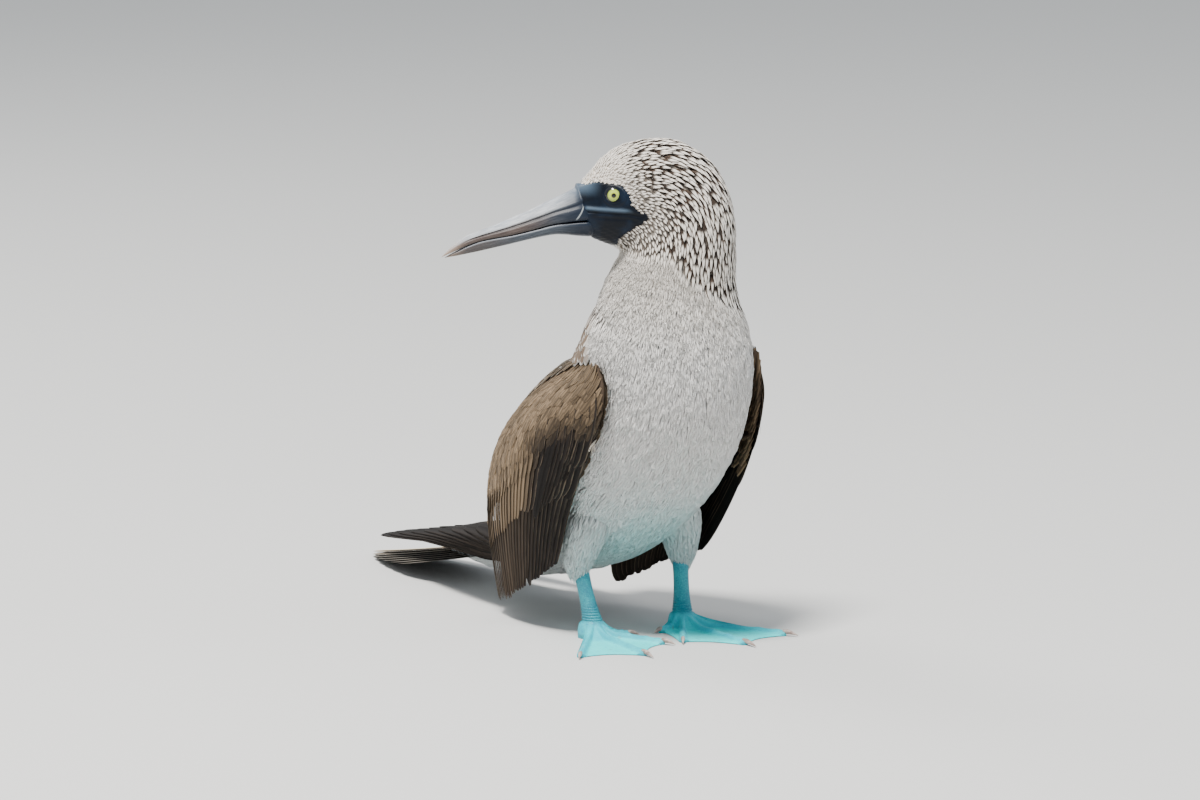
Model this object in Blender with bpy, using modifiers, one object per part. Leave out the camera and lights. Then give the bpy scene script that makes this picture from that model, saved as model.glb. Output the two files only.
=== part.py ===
"""Blue-footed booby at life size, standing with its head turned over its right shoulder.

Millimetres below, scaled to metres when a mesh is made. +Z is up, the body faces -Y and the
bird's right side is -X. The floor is z = 0. Feet, toes and the tip of the tail rest on it.
"""

import math

import bmesh
import bpy
import numpy as np
from mathutils import Vector
from mathutils.bvhtree import BVHTree

MM = 0.001
# Moves the middle of the whole bird's box to the origin
STANCE = np.array([28.0, -141.0, 0.0])
# Clearance that neighbouring nodes keep
GAP = 0.3

# Flesh: sections of sixteen points, each with its upper point, its lower point and half width
RING = 16
# A smooth surface through a ring of points lies a little inside them
CAGE_SWELL = 1.0 / (2.0 / 3.0 + math.cos(2.0 * math.pi / RING) / 3.0)
# The head turns to the right by five of the ring's sixteen steps
HEAD_TURN_STEPS = 5
HEAD_CENTRE = (0.7, -33.0)
FACE_PLANE_F = 57.0
FACE_PLANE_Z = 290.0
BILL_SLOPE = math.radians(16.6)
HEAD_NECK_Z = 256.0
# Head sections as (forward, height) of the top and of the bottom, half width, fullness
HEAD_SECTIONS = (
    (72.0, 299.0, 70.0, 276.0, 9.0, 0.0),
    (58.0, 309.0, 54.0, 271.5, 14.5, -0.05),
    (49.0, 323.5, 48.5, 269.0, 18.5, -0.10),
    (36.0, 331.8, 43.0, 267.0, 22.5, -0.12),
    (18.0, 336.3, 38.5, 265.0, 26.0, -0.10),
    (-2.0, 335.5, 35.5, 263.0, 28.5, -0.06),
    (-20.0, 326.0, 34.5, 260.0, 31.5, -0.02),
    (-33.5, 310.0, 35.5, 256.5, 35.0, 0.0),
    (-40.5, 289.0, 38.0, 252.5, 38.0, 0.0),
    (-42.0, 264.0, 42.0, 246.0, 40.5, 0.0),
)
# Body sections as (y, z) of the back and of the belly, half width, fullness
BODY_SECTIONS = (
    (14.0, 238.0, -72.0, 238.0, 43.0, 0.0),
    (17.0, 225.0, -77.0, 218.0, 49.0, 0.0),
    (24.0, 212.0, -83.0, 195.0, 56.5, 0.0),
    (35.0, 197.0, -85.0, 168.0, 58.0, 0.02),
    (53.0, 180.0, -77.0, 140.0, 61.0, 0.03),
    (74.0, 164.0, -60.0, 113.0, 62.5, 0.03),
    (94.0, 148.0, -38.0, 90.0, 62.0, 0.03),
    (110.0, 128.0, -12.0, 70.0, 59.0, 0.03),
    (124.0, 107.0, 18.0, 52.0, 54.5, 0.02),
    (137.0, 88.0, 50.0, 39.0, 46.0, 0.0),
    (149.0, 72.0, 84.0, 30.0, 36.5, 0.0),
    (160.0, 59.0, 116.0, 23.0, 28.5, 0.0),
    (171.0, 50.0, 144.0, 18.0, 24.0, 0.0),
    (191.0, 40.5, 175.0, 15.0, 21.0, 0.0),
    (212.0, 34.0, 205.0, 16.5, 19.0, 0.0),
    (232.0, 28.5, 230.0, 19.0, 16.5, 0.0),
)
NECK_BASE_BACK = (24.0, 212.0)
NECK_BASE_BREAST = (-83.0, 195.0)
TAIL_CUT_Y = 165.0

# Eye, its socket and the ring of bare lid
EYE_F = 41.0
EYE_Z = 301.4
EYE_OUT = 15.8
EYE_RADIUS = 7.0
LID_RADIUS = 6.0
LID_THICKNESS = 1.0

# Line of the mouth behind the bill, as (forward, height)
GAPE_LINE = ((60.0, 284.0), (54.0, 288.2), (48.0, 291.0), (39.0, 291.6), (31.0, 291.0))
GAPE_DEPTH = 1.1
GAPE_HALF_HEIGHT = 0.5

# Half outlines of the bill's two halves, each point across and up as a share of its section
UPPER_OUTLINE = (
    (0.0, 0.0), (0.62, 0.02), (1.0, 0.05), (1.03, 0.3), (0.93, 0.5), (0.84, 0.62), (0.45, 0.9),
    (0.0, 1.0),
)
LOWER_OUTLINE = (
    (0.0, 1.0), (0.6, 0.98), (0.96, 0.95), (0.98, 0.6), (0.78, 0.25), (0.42, 0.03), (0.0, 0.0),
)
# Bill profile as (forward, culmen height, mouth height, lower edge height, half width)
BILL_PROFILE = (
    (57.4, 308.6, 283.6, 271.9, 14.2),
    (63.0, 304.9, 283.0, 272.6, 13.2),
    (71.0, 300.8, 282.1, 273.6, 11.9),
    (80.0, 296.7, 280.9, 273.6, 10.6),
    (94.0, 290.2, 277.2, 271.0, 8.9),
    (107.0, 284.7, 274.1, 268.0, 7.5),
    (118.0, 280.2, 272.3, 265.6, 6.4),
    (128.0, 276.6, 270.2, 263.5, 5.4),
    (136.5, 273.2, 267.2, 262.0, 4.5),
    (144.5, 267.6, 263.4, 260.6, 3.0),
    (149.3, 263.0, 261.2, 259.9, 1.6),
)
BILL_TIP = (152.3, 259.6)
LOWER_BILL_SHORTER = 2.2
# The nasal groove runs along the fifth point of the upper outline and fades before the hook
GROOVE_DEPTH = 0.6
GROOVE_POINT = 4
GROOVE_END = 140.0
GROOVE_FADE = 12.0

# Wing surface: four lines from shoulder to feather tips, each outwards, back and up.
# The left wing is held a little further forward and higher, so each side has its own lines.
WING_LINES = {
    "right": (
        ((59, -26, 198), (59, -46, 157), (57, -8, 106), (54, 20, 48)),
        ((40, 25, 184), (72, 1, 151), (72, 24, 98), (56, 56, 30)),
        ((34, 74, 161), (69, 59, 125), (67, 72, 74), (52, 88, 17)),
        ((27, 109, 136), (47, 121, 97), (47, 126, 50), (45, 117, 9)),
    ),
    "left": (
        ((61, -38, 201), (60, -47, 160), (60, -23, 106), (52, 20, 48)),
        ((42, 24, 186), (72, 2, 152), (70, 24, 100), (54, 54, 39)),
        ((34, 74, 161), (69, 59, 125), (67, 72, 78), (52, 88, 27)),
        ((27, 109, 136), (47, 121, 97), (47, 126, 50), (45, 117, 12)),
    ),
}
# The arm and its small coverts reach half way down the wing
PAD_END = 0.5
PAD_COLUMNS = 10
PAD_ROWS = 6
PAD_SKIN = 0.8
PAD_CROWN = 4.7
PAD_THICKNESS = 10.0
# Flight feathers of the arm and the coverts over them: how many, where the row starts and ends
# along the wing, and how far down the wing they root and end
SECONDARIES = 11
SECONDARY_ROOTS = (0.06, 0.96, 0.4)
SECONDARY_TIPS = (0.04, 0.97, 1.0)
COVERTS = 9
COVERT_ROOTS = (0.08, 0.92, 0.26)
COVERT_TIPS = (0.08, 0.92, 0.7)
COVERT_LIFT = 4.6
VANE_STATIONS = (0.0, 0.3, 0.6, 0.85, 0.95, 1.0)
COVERT_STATIONS = (0.0, 0.35, 0.6, 0.87, 1.0)
# A feather's rear edge lies lower than its front edge by this over this
VANE_ROLL = math.atan2(1.9, 17.0)
# Half width of a wing feather as a share of the distance to the next one
LAP = 0.64
VANE_THICKNESS = 0.75
# Distance between feathers stacked in the hand and in the tail
VANE_STEP = 1.15

# Flight feathers of the hand, from the outermost, all along one line
PRIMARIES = 7
PRIMARY_SHORTER = 0.07
PRIMARY_HALF_WIDTH = 10.5
PRIMARY_SHIFT = 1.7
PRIMARY_STATIONS = (0.1, 0.22, 0.36, 0.5, 0.64, 0.78, 0.9)
PRIMARY_LINE = (
    (68, -24, 142),
    (68, 0, 118),
    (65, 35, 88),
    (54, 80, 62),
    (40, 125, 50),
    (32, 180, 45),
    (22, 240, 37),
    (14, 300, 29),
    (10.5, 336, 24),
)

# Tail: centre line, one pair of feathers for each length, the central pair first
TAIL_ROOT = (188.0, 29.5)
TAIL_TIP = (366.0, 1.7)
TAIL_BOW = 1.15
TAIL_LENGTHS = (1.0, 0.93, 0.85, 0.76, 0.66, 0.56)
TAIL_FAN = math.radians(9.0)
RECTRIX_HALF_WIDTH = 12.5
RECTRIX_SPACING = 1.6
RECTRIX_STATIONS = (0.0, 0.18, 0.36, 0.54, 0.72, 0.88)

# Legs
HIP = (29.0, 15.0, 92.0)
KNEE = (36.5, 18.0, 66.0)
CUFF = (40.0, 21.0, 46.0)
TARSUS_TOP = (38.5, 20.5, 45.7)
ANKLE = (34.5, 11.0, 10.3)
# Thigh sections from the hip down, as a place between two joints and the two half widths
THIGH_SECTIONS = (
    (HIP, KNEE, 0.0, 15.0, 20.0),
    (HIP, KNEE, 0.5, 15.5, 20.5),
    (HIP, KNEE, 1.0, 13.5, 17.5),
    (KNEE, CUFF, 0.5, 11.2, 13.3),
    (KNEE, CUFF, 0.85, 9.6, 10.5),
    (KNEE, CUFF, 1.0, 8.2, 8.8),
)
# Tarsus sections from the top, as a share of its length and the two half widths
TARSUS_SECTIONS = (
    (0.0, 5.6, 6.4), (0.12, 5.2, 6.0), (0.35, 4.9, 5.8), (0.6, 5.0, 6.0), (0.8, 5.5, 6.5),
    (0.92, 6.1, 6.9), (1.0, 6.4, 7.2),
)
HUB_RADIUS = 7.6
HUB_HEIGHT = 10.0
# Toes as angle to the outer side of straight ahead, length without claw, claw length
TOES = (
    (math.radians(-67.0), 25.0, 6.5),
    (math.radians(-30.0), 55.0, 8.0),
    (math.radians(3.0), 76.0, 12.0),
    (math.radians(36.0), 75.0, 8.5),
)
TOE_NAMES = ("hind", "inner", "middle", "outer")
CLAW_HALF_WIDTH = 1.35
CLAW_HALF_HEIGHT = 1.5
CLAW_HEIGHT = 2.9
CLAW_TIP_HEIGHT = 0.6
TOE_HALF_WIDTH = 2.45
TOE_HEIGHT = 6.0
TOE_EDGE_HEIGHT = 2.9
# Webs are a little clear of the floor between the toes
WEB_TOP = 2.1
WEB_UNDER = 0.4
WEB_SCALLOP = 0.2
HEEL_SPOKES = 6
FOOT_RINGS = (0.0, 0.1, 0.22, 0.38, 0.55, 0.72, 0.88, 1.0)


def new_material(name, colour, roughness, metallic=0.0):
    material = bpy.data.materials.new(name)
    material.use_nodes = True
    shader = material.node_tree.nodes["Principled BSDF"]
    shader.inputs["Base Color"].default_value = (*colour, 1.0)
    shader.inputs["Roughness"].default_value = roughness
    shader.inputs["Metallic"].default_value = metallic
    return material


def mesh_object(name, vertices, faces, collection):
    """One object from points in millimetres, moved to the stance, its faces turned outwards."""
    places = (np.array(vertices, float) + STANCE) * MM
    mesh = bpy.data.meshes.new(name)
    mesh.from_pydata(places.tolist(), [], faces)
    body = bmesh.new()
    body.from_mesh(mesh)
    bmesh.ops.recalc_face_normals(body, faces=body.faces)
    body.to_mesh(mesh)
    body.free()
    made = bpy.data.objects.new(name, mesh)
    collection.objects.link(made)
    return made


def applied(thing):
    """The object with its modifiers turned into plain mesh."""
    graph = bpy.context.evaluated_depsgraph_get()
    mesh = bpy.data.meshes.new_from_object(thing.evaluated_get(graph))
    thing.modifiers.clear()
    thing.data = mesh
    return thing


def loft_faces(rings, count):
    """Quads between rings of count points, and one flat face on each end."""
    faces = []
    for ring in range(rings - 1):
        for step in range(count):
            here = ring * count + step
            beside = ring * count + (step + 1) % count
            faces.append((here, beside, beside + count, here + count))
    faces.append(tuple(range(count - 1, -1, -1)))
    faces.append(tuple(range((rings - 1) * count, rings * count)))
    return faces


def head_axes():
    """Where the head's middle plane stands: its origin, forward and right directions in plan."""
    turn = -math.pi / 2.0 - HEAD_TURN_STEPS * 2.0 * math.pi / RING
    forward = np.array([math.cos(turn), math.sin(turn)])
    return np.array(HEAD_CENTRE), forward, np.array([forward[1], -forward[0]])


def head_point(f, z, lateral=0.0):
    """A point of the head from its distance forward, its height and how far right it lies."""
    origin, forward, right = head_axes()
    plan = origin + forward * f + right * lateral
    return np.array([plan[0], plan[1], z])


def section(place, top, bottom, half_width, fullness):
    """Sixteen points of one section, from its lower point round by the bird's right side."""
    top, bottom = np.array(top), np.array(bottom)
    centre, rise = (top + bottom) / 2.0, (top - bottom) / 2.0
    points = []
    for step in range(RING):
        turn = 2.0 * math.pi * step / RING
        across = math.sin(turn)
        along = centre + rise * (fullness * across**2 - CAGE_SWELL * math.cos(turn))
        points.append(place(along[0], along[1], CAGE_SWELL * half_width * across))
    return points


def body_point(y, z, right):
    return np.array([-right, y, z])


def flesh(collection):
    """Head, neck, trunk and root of the tail as one smooth body."""
    rings = []
    for f_top, z_top, f_low, z_low, half_width, fullness in HEAD_SECTIONS:
        ring = section(head_point, (f_top, z_top), (f_low, z_low), half_width, fullness)
        rings.append(ring[-HEAD_TURN_STEPS:] + ring[:-HEAD_TURN_STEPS])
    for y_top, z_top, y_low, z_low, half_width, fullness in BODY_SECTIONS:
        rings.append(section(body_point, (y_top, z_top), (y_low, z_low), half_width, fullness))
    vertices = [point for ring in rings for point in ring]
    body = mesh_object("flesh", vertices, loft_faces(len(rings), RING), collection)
    smooth = body.modifiers.new("smooth", "SUBSURF")
    smooth.levels = smooth.render_levels = 1
    return applied(body)


def world(point):
    return Vector((np.array(point, float) + STANCE) * MM)


def sliced(name, source, cuts, collection):
    """A copy of a body cut off flat in front of each plane, given by a point and its normal."""
    body = bmesh.new()
    body.from_mesh(source.data)
    for point, normal in cuts:
        found = bmesh.ops.bisect_plane(
            body,
            geom=body.verts[:] + body.edges[:] + body.faces[:],
            plane_co=world(point),
            plane_no=Vector(normal),
            clear_outer=True,
        )
        rim = [part for part in found["geom_cut"] if isinstance(part, bmesh.types.BMEdge)]
        bmesh.ops.edgenet_fill(body, edges=rim)
    bmesh.ops.triangulate(body, faces=body.faces)
    mesh = bpy.data.meshes.new(name)
    body.to_mesh(mesh)
    body.free()
    made = bpy.data.objects.new(name, mesh)
    collection.objects.link(made)
    return made


def swollen(name, source, margin, collection):
    """A copy of a body grown outwards by the margin, to cut its neighbours with."""
    mesh = source.data.copy()
    normals = [vertex.normal.copy() for vertex in mesh.vertices]
    for vertex, normal in zip(mesh.vertices, normals):
        vertex.co += normal * margin * MM
    made = bpy.data.objects.new(name, mesh)
    made.hide_render = True
    made.display_type = "WIRE"
    collection.objects.link(made)
    return made


def largest_surface(thing):
    """Keeps only the largest closed surface of a body."""
    body = bmesh.new()
    body.from_mesh(thing.data)
    left = set(body.faces)
    groups = []
    while left:
        queue = [left.pop()]
        group = []
        while queue:
            face = queue.pop()
            group.append(face)
            for edge in face.edges:
                for other in edge.link_faces:
                    if other in left:
                        left.remove(other)
                        queue.append(other)
        groups.append(group)
    groups.sort(key=len)
    loose = [face for group in groups[:-1] for face in group]
    bmesh.ops.delete(body, geom=loose, context="FACES")
    bmesh.ops.triangulate(body, faces=body.faces)
    body.to_mesh(thing.data)
    body.free()
    return thing


def cut(thing, cutters, solver="EXACT"):
    """Takes each cutter away from a body."""
    for cutter in cutters:
        step = thing.modifiers.new("cut", "BOOLEAN")
        step.operation = "DIFFERENCE"
        step.solver = solver
        step.object = cutter
    return largest_surface(applied(thing))


def fused(core, pieces, solver="EXACT"):
    """Joins the pieces to the core in one union and removes them."""
    group = bpy.data.collections.new(core.name + "_pieces")
    bpy.context.scene.collection.children.link(group)
    for piece in pieces:
        for owner in list(piece.users_collection):
            owner.objects.unlink(piece)
        group.objects.link(piece)
    step = core.modifiers.new("fuse", "BOOLEAN")
    step.operation = "UNION"
    step.solver = solver
    step.operand_type = "COLLECTION"
    step.collection = group
    applied(core)
    for piece in pieces:
        bpy.data.objects.remove(piece, do_unlink=True)
    bpy.data.collections.remove(group)
    return largest_surface(core)


def side_surface(tree, f, z, side):
    """Where the head's surface lies beside its middle plane, and how far out that is."""
    start = head_point(f, z, 60.0 * side)
    aim = head_point(f, z, 0.0) - start
    hit = tree.ray_cast(world(start), Vector(aim).normalized())[0]
    middle = world(head_point(f, z))
    return (hit - middle).length / MM


def gape_cutter(tree, side, collection):
    """A thin wedge that draws the line of the mouth back under the eye."""
    vertices = []
    for f, z in GAPE_LINE:
        out = side_surface(tree, f, z, side)
        fade = min(1.0, (f - GAPE_LINE[-1][0] + 2.0) / 10.0)
        vertices.append(head_point(f, z, side * (out - GAPE_DEPTH * fade)))
        vertices.append(head_point(f, z + GAPE_HALF_HEIGHT * 2.0, side * (out + 1.0)))
        vertices.append(head_point(f, z - GAPE_HALF_HEIGHT * 2.0, side * (out + 1.0)))
    return mesh_object("gape", vertices, loft_faces(len(GAPE_LINE), 3), collection)


def ball(name, centre, radius, collection, segments=16, rings=10):
    bpy.ops.mesh.primitive_uv_sphere_add(
        segments=segments, ring_count=rings, radius=radius * MM, location=world(centre)
    )
    made = bpy.context.object
    made.name = name
    for owner in list(made.users_collection):
        owner.objects.unlink(made)
    collection.objects.link(made)
    return made


def lid_ring(centre, normal, collection):
    bpy.ops.mesh.primitive_torus_add(
        major_segments=16,
        minor_segments=5,
        major_radius=LID_RADIUS * MM,
        minor_radius=LID_THICKNESS * MM,
        location=world(centre),
        rotation=Vector(normal).to_track_quat("Z", "Y").to_euler(),
    )
    made = bpy.context.object
    for owner in list(made.users_collection):
        owner.objects.unlink(made)
    collection.objects.link(made)
    return made


def make_head(source, parts, tools):
    """The head with its eyes' sockets, lids and mouth line, and the two eyeballs."""
    down = (0.0, 0.0, -1.0)
    face = head_point(1.0, -math.tan(BILL_SLOPE)) - head_point(0.0, 0.0)
    head = sliced(
        "head",
        source,
        ((head_point(0.0, HEAD_NECK_Z + GAP / 2.0), down),
         (head_point(FACE_PLANE_F, FACE_PLANE_Z), face)),
        parts,
    )
    mesh = source.data
    tree = BVHTree.FromPolygons(
        [vertex.co for vertex in mesh.vertices], [face.vertices for face in mesh.polygons]
    )
    lids, cutters = [], []
    right = head_axes()[2]
    for side, label in ((1.0, "right"), (-1.0, "left")):
        out = side_surface(tree, EYE_F, EYE_Z, side)
        normal = (right[0] * side, right[1] * side, 0.0)
        lids.append(lid_ring(head_point(EYE_F, EYE_Z, side * (out + 0.1)), normal, tools))
        middle = head_point(EYE_F, EYE_Z, side * EYE_OUT)
        cutters.append(ball("socket_" + label, middle, EYE_RADIUS + GAP, tools))
        cutters.append(gape_cutter(tree, side, tools))
        eye = ball("eye_" + label, middle, EYE_RADIUS, parts)
        eye.data.shade_smooth()
    fused(head, lids)
    cut(head, cutters)
    for cutter in cutters:
        bpy.data.objects.remove(cutter, do_unlink=True)
    return head


def bill_half(name, upper, parts):
    """One half of the bill, lofted from its base to its tip."""
    outline = UPPER_OUTLINE if upper else LOWER_OUTLINE
    vertices = []
    for f, culmen, mouth, keel, half_width in BILL_PROFILE:
        low = mouth + GAP / 2.0 if upper else keel
        height = culmen - mouth if upper else mouth - keel - GAP
        groove = GROOVE_DEPTH * min(1.0, max(0.0, (GROOVE_END - f) / GROOVE_FADE))
        half = [(across * half_width, low + up * height) for across, up in outline]
        if upper:
            half[GROOVE_POINT] = (half[GROOVE_POINT][0] - groove, half[GROOVE_POINT][1])
        for across, z in half + [(-across, z) for across, z in half[-2:0:-1]]:
            first = f == BILL_PROFILE[0][0]
            lean = math.tan(BILL_SLOPE) * (z - FACE_PLANE_Z) if first else 0.0
            vertices.append(head_point(f + lean, z, across))
    count = 2 * len(outline) - 2
    last = (len(BILL_PROFILE) - 1) * count
    faces = loft_faces(len(BILL_PROFILE), count)[:-1]
    tip = BILL_TIP[0] if upper else BILL_TIP[0] - LOWER_BILL_SHORTER
    vertices.append(head_point(tip, BILL_TIP[1]))
    for step in range(count):
        faces.append((last + step, last + (step + 1) % count, len(vertices) - 1))
    return mesh_object(name, vertices, faces, parts)


def lagrange(t):
    """Weights of four evenly spaced points for the curve through them."""
    knots = (0.0, 1.0 / 3.0, 2.0 / 3.0, 1.0)
    weights = []
    for one in knots:
        weight = 1.0
        for other in knots:
            if other != one:
                weight *= (t - other) / (one - other)
        weights.append(weight)
    return np.array(weights)


def wing_frame(side, a, b):
    """Point, outward normal and rearward direction of the wing's surface at (a, b)."""
    lines = np.array(WING_LINES["left" if side > 0.0 else "right"], float)

    def spot(a, b):
        point = np.einsum("i,j,ijk->k", lagrange(a), lagrange(b), lines)
        return point * (side, 1.0, 1.0)

    step = 0.01
    point = spot(a, b)
    rearward = spot(a + step, b) - spot(a - step, b)
    downward = spot(a, b + step) - spot(a, b - step)
    normal = np.cross(rearward, downward)
    normal /= np.linalg.norm(normal)
    if normal[0] * side < 0.0:
        normal = -normal
    return point, normal, rearward / np.linalg.norm(rearward)


def vane(name, stations, collection):
    """A flat tapered feather. Each station has its centre, half side vector and half thickness."""
    vertices = []
    for centre, across, through in stations:
        vertices += [
            centre - across + through,
            centre + across + through,
            centre + across - through,
            centre - across - through,
        ]
    faces = []
    for ring in range(len(stations) - 1):
        low, high = ring * 4, ring * 4 + 4
        faces += [(low, low + 1, high + 1), (low, high + 1, high)]
        faces += [(low + 3, high + 2, low + 2), (low + 3, high + 3, high + 2)]
        faces += [(low + 1, low + 2, high + 2), (low + 1, high + 2, high + 1)]
        faces += [(low + 3, low, high), (low + 3, high, high + 3)]
    end = len(vertices) - 4
    faces += [(0, 2, 1), (0, 3, 2), (end, end + 1, end + 2), (end, end + 2, end + 3)]
    return mesh_object(name, vertices, faces, collection)


def feather_width(s):
    """Share of a feather's half width at s along it, from its root to its rounded tip."""
    root = min(1.0, 0.45 + 1.9 * s)
    tip = math.sqrt(max(0.0, 1.0 - max(0.0, (s - 0.86) / 0.15) ** 2))
    return max(0.16, root * tip)


def wing_vane(side, root, tip, lift, spacing, stations, tools):
    """A feather on the wing's surface from root to tip, both as (a, b), that laps the next one.

    The spacing is the share of the wing between neighbours at the root and at the tip.
    """
    path = []
    for s in stations:
        a = root[0] + (tip[0] - root[0]) * s
        b = root[1] + (tip[1] - root[1]) * s
        apart = (spacing[0] + (spacing[1] - spacing[0]) * s) / 2.0
        width = wing_frame(side, a + apart, b)[0] - wing_frame(side, a - apart, b)[0]
        path.append((*wing_frame(side, a, b), np.linalg.norm(width) * LAP))
    rings = []
    for index, s in enumerate(stations):
        point, normal, rearward, half_width = path[index]
        before = path[max(0, index - 1)][0]
        after = path[min(len(path) - 1, index + 1)][0]
        along = (after - before) / np.linalg.norm(after - before)
        across = np.cross(along, normal)
        if across @ rearward < 0.0:
            across = -across
        tilted = across * math.cos(VANE_ROLL) - normal * math.sin(VANE_ROLL)
        facing = normal * math.cos(VANE_ROLL) + across * math.sin(VANE_ROLL)
        rise = lift * min(1.0, 0.15 + 2.4 * s)
        half_thickness = VANE_THICKNESS * (0.75 - 0.375 * s)
        rings.append((
            point + normal * rise,
            tilted * half_width * feather_width(s),
            facing * half_thickness,
        ))
    return vane("vane", rings, tools)


def wing_pad(name, side, parts):
    """The shoulder, arm and small coverts of a wing as one closed body."""
    columns, rows = PAD_COLUMNS, PAD_ROWS
    outer, inner = [], []
    for row in range(rows):
        b = PAD_END * row / (rows - 1.0)
        for column in range(columns):
            a = column / (columns - 1.0)
            point, normal, _ = wing_frame(side, a, b)
            edge = math.sin(math.pi * (0.03 + 0.94 * a))
            depth = math.sin(math.pi * min(0.5, 0.06 + 1.6 * b))
            crown = math.sin(math.pi * b / (1.12 * PAD_END))
            outer.append(point + normal * (PAD_SKIN + PAD_CROWN * edge**0.6 * crown))
            inner.append(point - normal * (1.5 * PAD_SKIN + PAD_THICKNESS * edge**0.5 * depth))
    vertices = outer + inner
    below = len(outer)
    faces = []
    for row in range(rows - 1):
        for column in range(columns - 1):
            here = row * columns + column
            faces.append((here, here + 1, here + columns + 1, here + columns))
            under = here + below
            faces.append((under, under + columns, under + columns + 1, under + 1))
    rim = list(range(columns))
    rim += [row * columns + columns - 1 for row in range(1, rows)]
    rim += [(rows - 1) * columns + column for column in range(columns - 2, -1, -1)]
    rim += [row * columns for row in range(rows - 2, 0, -1)]
    for here, after in zip(rim, rim[1:] + rim[:1]):
        faces.append((here, here + below, after + below, after))
    pad = mesh_object(name, vertices, faces, parts)
    body = bmesh.new()
    body.from_mesh(pad.data)
    bmesh.ops.triangulate(body, faces=body.faces)
    body.to_mesh(pad.data)
    body.free()
    return pad


def smooth_path(points, t):
    """Point at t from 0 to 1 on the smooth curve through evenly spaced points."""
    points = np.array(points, float)
    last = len(points) - 1
    place = min(max(t, 0.0), 1.0) * last
    start = min(int(place), last - 1)
    u = place - start
    p1, p2 = points[start], points[start + 1]
    p0 = points[start - 1] if start > 0 else 2.0 * p1 - p2
    p3 = points[start + 2] if start + 2 <= last else 2.0 * p2 - p1
    return 0.5 * (
        2.0 * p1 + (p2 - p0) * u
        + (2.0 * p0 - 5.0 * p1 + 4.0 * p2 - p3) * u**2
        + (3.0 * p1 - p0 - 3.0 * p2 + p3) * u**3
    )


def shared_stations(stations, reach, tip):
    """The stations that every feather of a tier has, as far as this one goes, then its tip."""
    return [place for place in stations if place < reach - 1.5 * tip] + [reach - tip, reach]


def primary(side, rank, tools):
    """One flight feather of the hand. Rank 0 is the outermost and longest, and lies innermost."""
    rings = []
    reach = 1.0 - PRIMARY_SHORTER * rank
    middle = (PRIMARIES - 1) / 2.0
    flip = np.array([side, 1.0, 1.0])
    for t in shared_stations(PRIMARY_STATIONS, reach, 0.05):
        s = (t - PRIMARY_STATIONS[0]) / (reach - PRIMARY_STATIONS[0])
        here = smooth_path(PRIMARY_LINE, t)
        along = smooth_path(PRIMARY_LINE, t + 0.01) - smooth_path(PRIMARY_LINE, t - 0.01)
        along /= np.linalg.norm(along)
        # Upright beside the body, the blade turns level over the tail
        turn = min(1.0, max(0.0, (t - 0.35) / 0.4))
        outward = np.array([1.0 - 0.75 * turn, 0.0, 0.15 + 0.85 * turn])
        across = np.cross(along, outward)
        across /= np.linalg.norm(across)
        if across[2] < 0.0:
            across = -across
        facing = np.cross(across, along)
        if facing @ outward < 0.0:
            facing = -facing
        centre = here + facing * (rank - middle) * VANE_STEP
        centre = centre + across * (rank - middle) * PRIMARY_SHIFT
        half_thickness = VANE_THICKNESS * (0.7 - 0.3 * s)
        narrowing = 1.0 - 0.35 * max(0.0, s - 0.5)
        half_width = PRIMARY_HALF_WIDTH * feather_width(s) * narrowing
        rings.append((centre * flip, across * half_width * flip, facing * half_thickness * flip))
    return vane("primary", rings, tools)


def feather_row(side, count, roots, tips, lift, stations, tools):
    """A row of feathers along the arm, from the front of the wing to its rear."""
    row = []
    for index in range(count):
        share = index / (count - 1.0)
        root = (roots[0] + (roots[1] - roots[0]) * share, roots[2])
        uneven = 0.02 * math.sin(2.1 * index) if tips[2] < 1.0 else 0.0
        tip = (tips[0] + (tips[1] - tips[0]) * share, tips[2] + uneven)
        spacing = ((roots[1] - roots[0]) / (count - 1.0), (tips[1] - tips[0]) / (count - 1.0))
        row.append(wing_vane(side, root, tip, lift, spacing, stations, tools))
    return row


def make_wing(side, label, cutter, parts, tools):
    """A folded, drooped wing: arm, secondaries, greater coverts and primaries in tiers."""
    pad = wing_pad("wing_" + label, side, parts)
    vanes = feather_row(
        side, SECONDARIES, SECONDARY_ROOTS, SECONDARY_TIPS, 0.0, VANE_STATIONS, tools
    )
    vanes += feather_row(
        side, COVERTS, COVERT_ROOTS, COVERT_TIPS, COVERT_LIFT, COVERT_STATIONS, tools
    )
    vanes += [primary(side, rank, tools) for rank in range(PRIMARIES)]
    fused(pad, vanes)
    return cut(pad, (cutter,))


def tail_feather(rank, side, tools):
    """One tail feather. Each pair lies under the pair before it, the right one lower."""
    length = TAIL_TIP[0] - TAIL_ROOT[0]
    share = TAIL_LENGTHS[rank]
    layer = 2 * rank if rank < 2 else rank + 2
    if side > 0.0:
        layer += 1.0 if rank < 2 else 0.4
    spread = TAIL_FAN * (rank + 0.35) / (len(TAIL_LENGTHS) - 0.65)
    across = np.array([math.cos(spread), -side * math.sin(spread), 0.0])
    rings = []
    for fall in shared_stations(RECTRIX_STATIONS, share, 0.04):
        s = fall / share
        half_thickness = VANE_THICKNESS * (0.75 - 0.4 * s)
        top = (TAIL_ROOT[1] + 3.0) * (1.0 - fall) ** TAIL_BOW + TAIL_TIP[1]
        centre = np.array([
            side * (2.0 + RECTRIX_SPACING * rank + length * fall * math.tan(spread)),
            TAIL_ROOT[0] + length * fall,
            max(top - VANE_STEP * layer, half_thickness),
        ])
        narrowing = 1.0 - 0.3 * max(0.0, s - 0.55)
        half_width = RECTRIX_HALF_WIDTH * feather_width(s) * narrowing
        rings.append((centre, across * half_width, np.array([0.0, 0.0, half_thickness])))
    return vane("rectrix", rings, tools)


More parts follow.
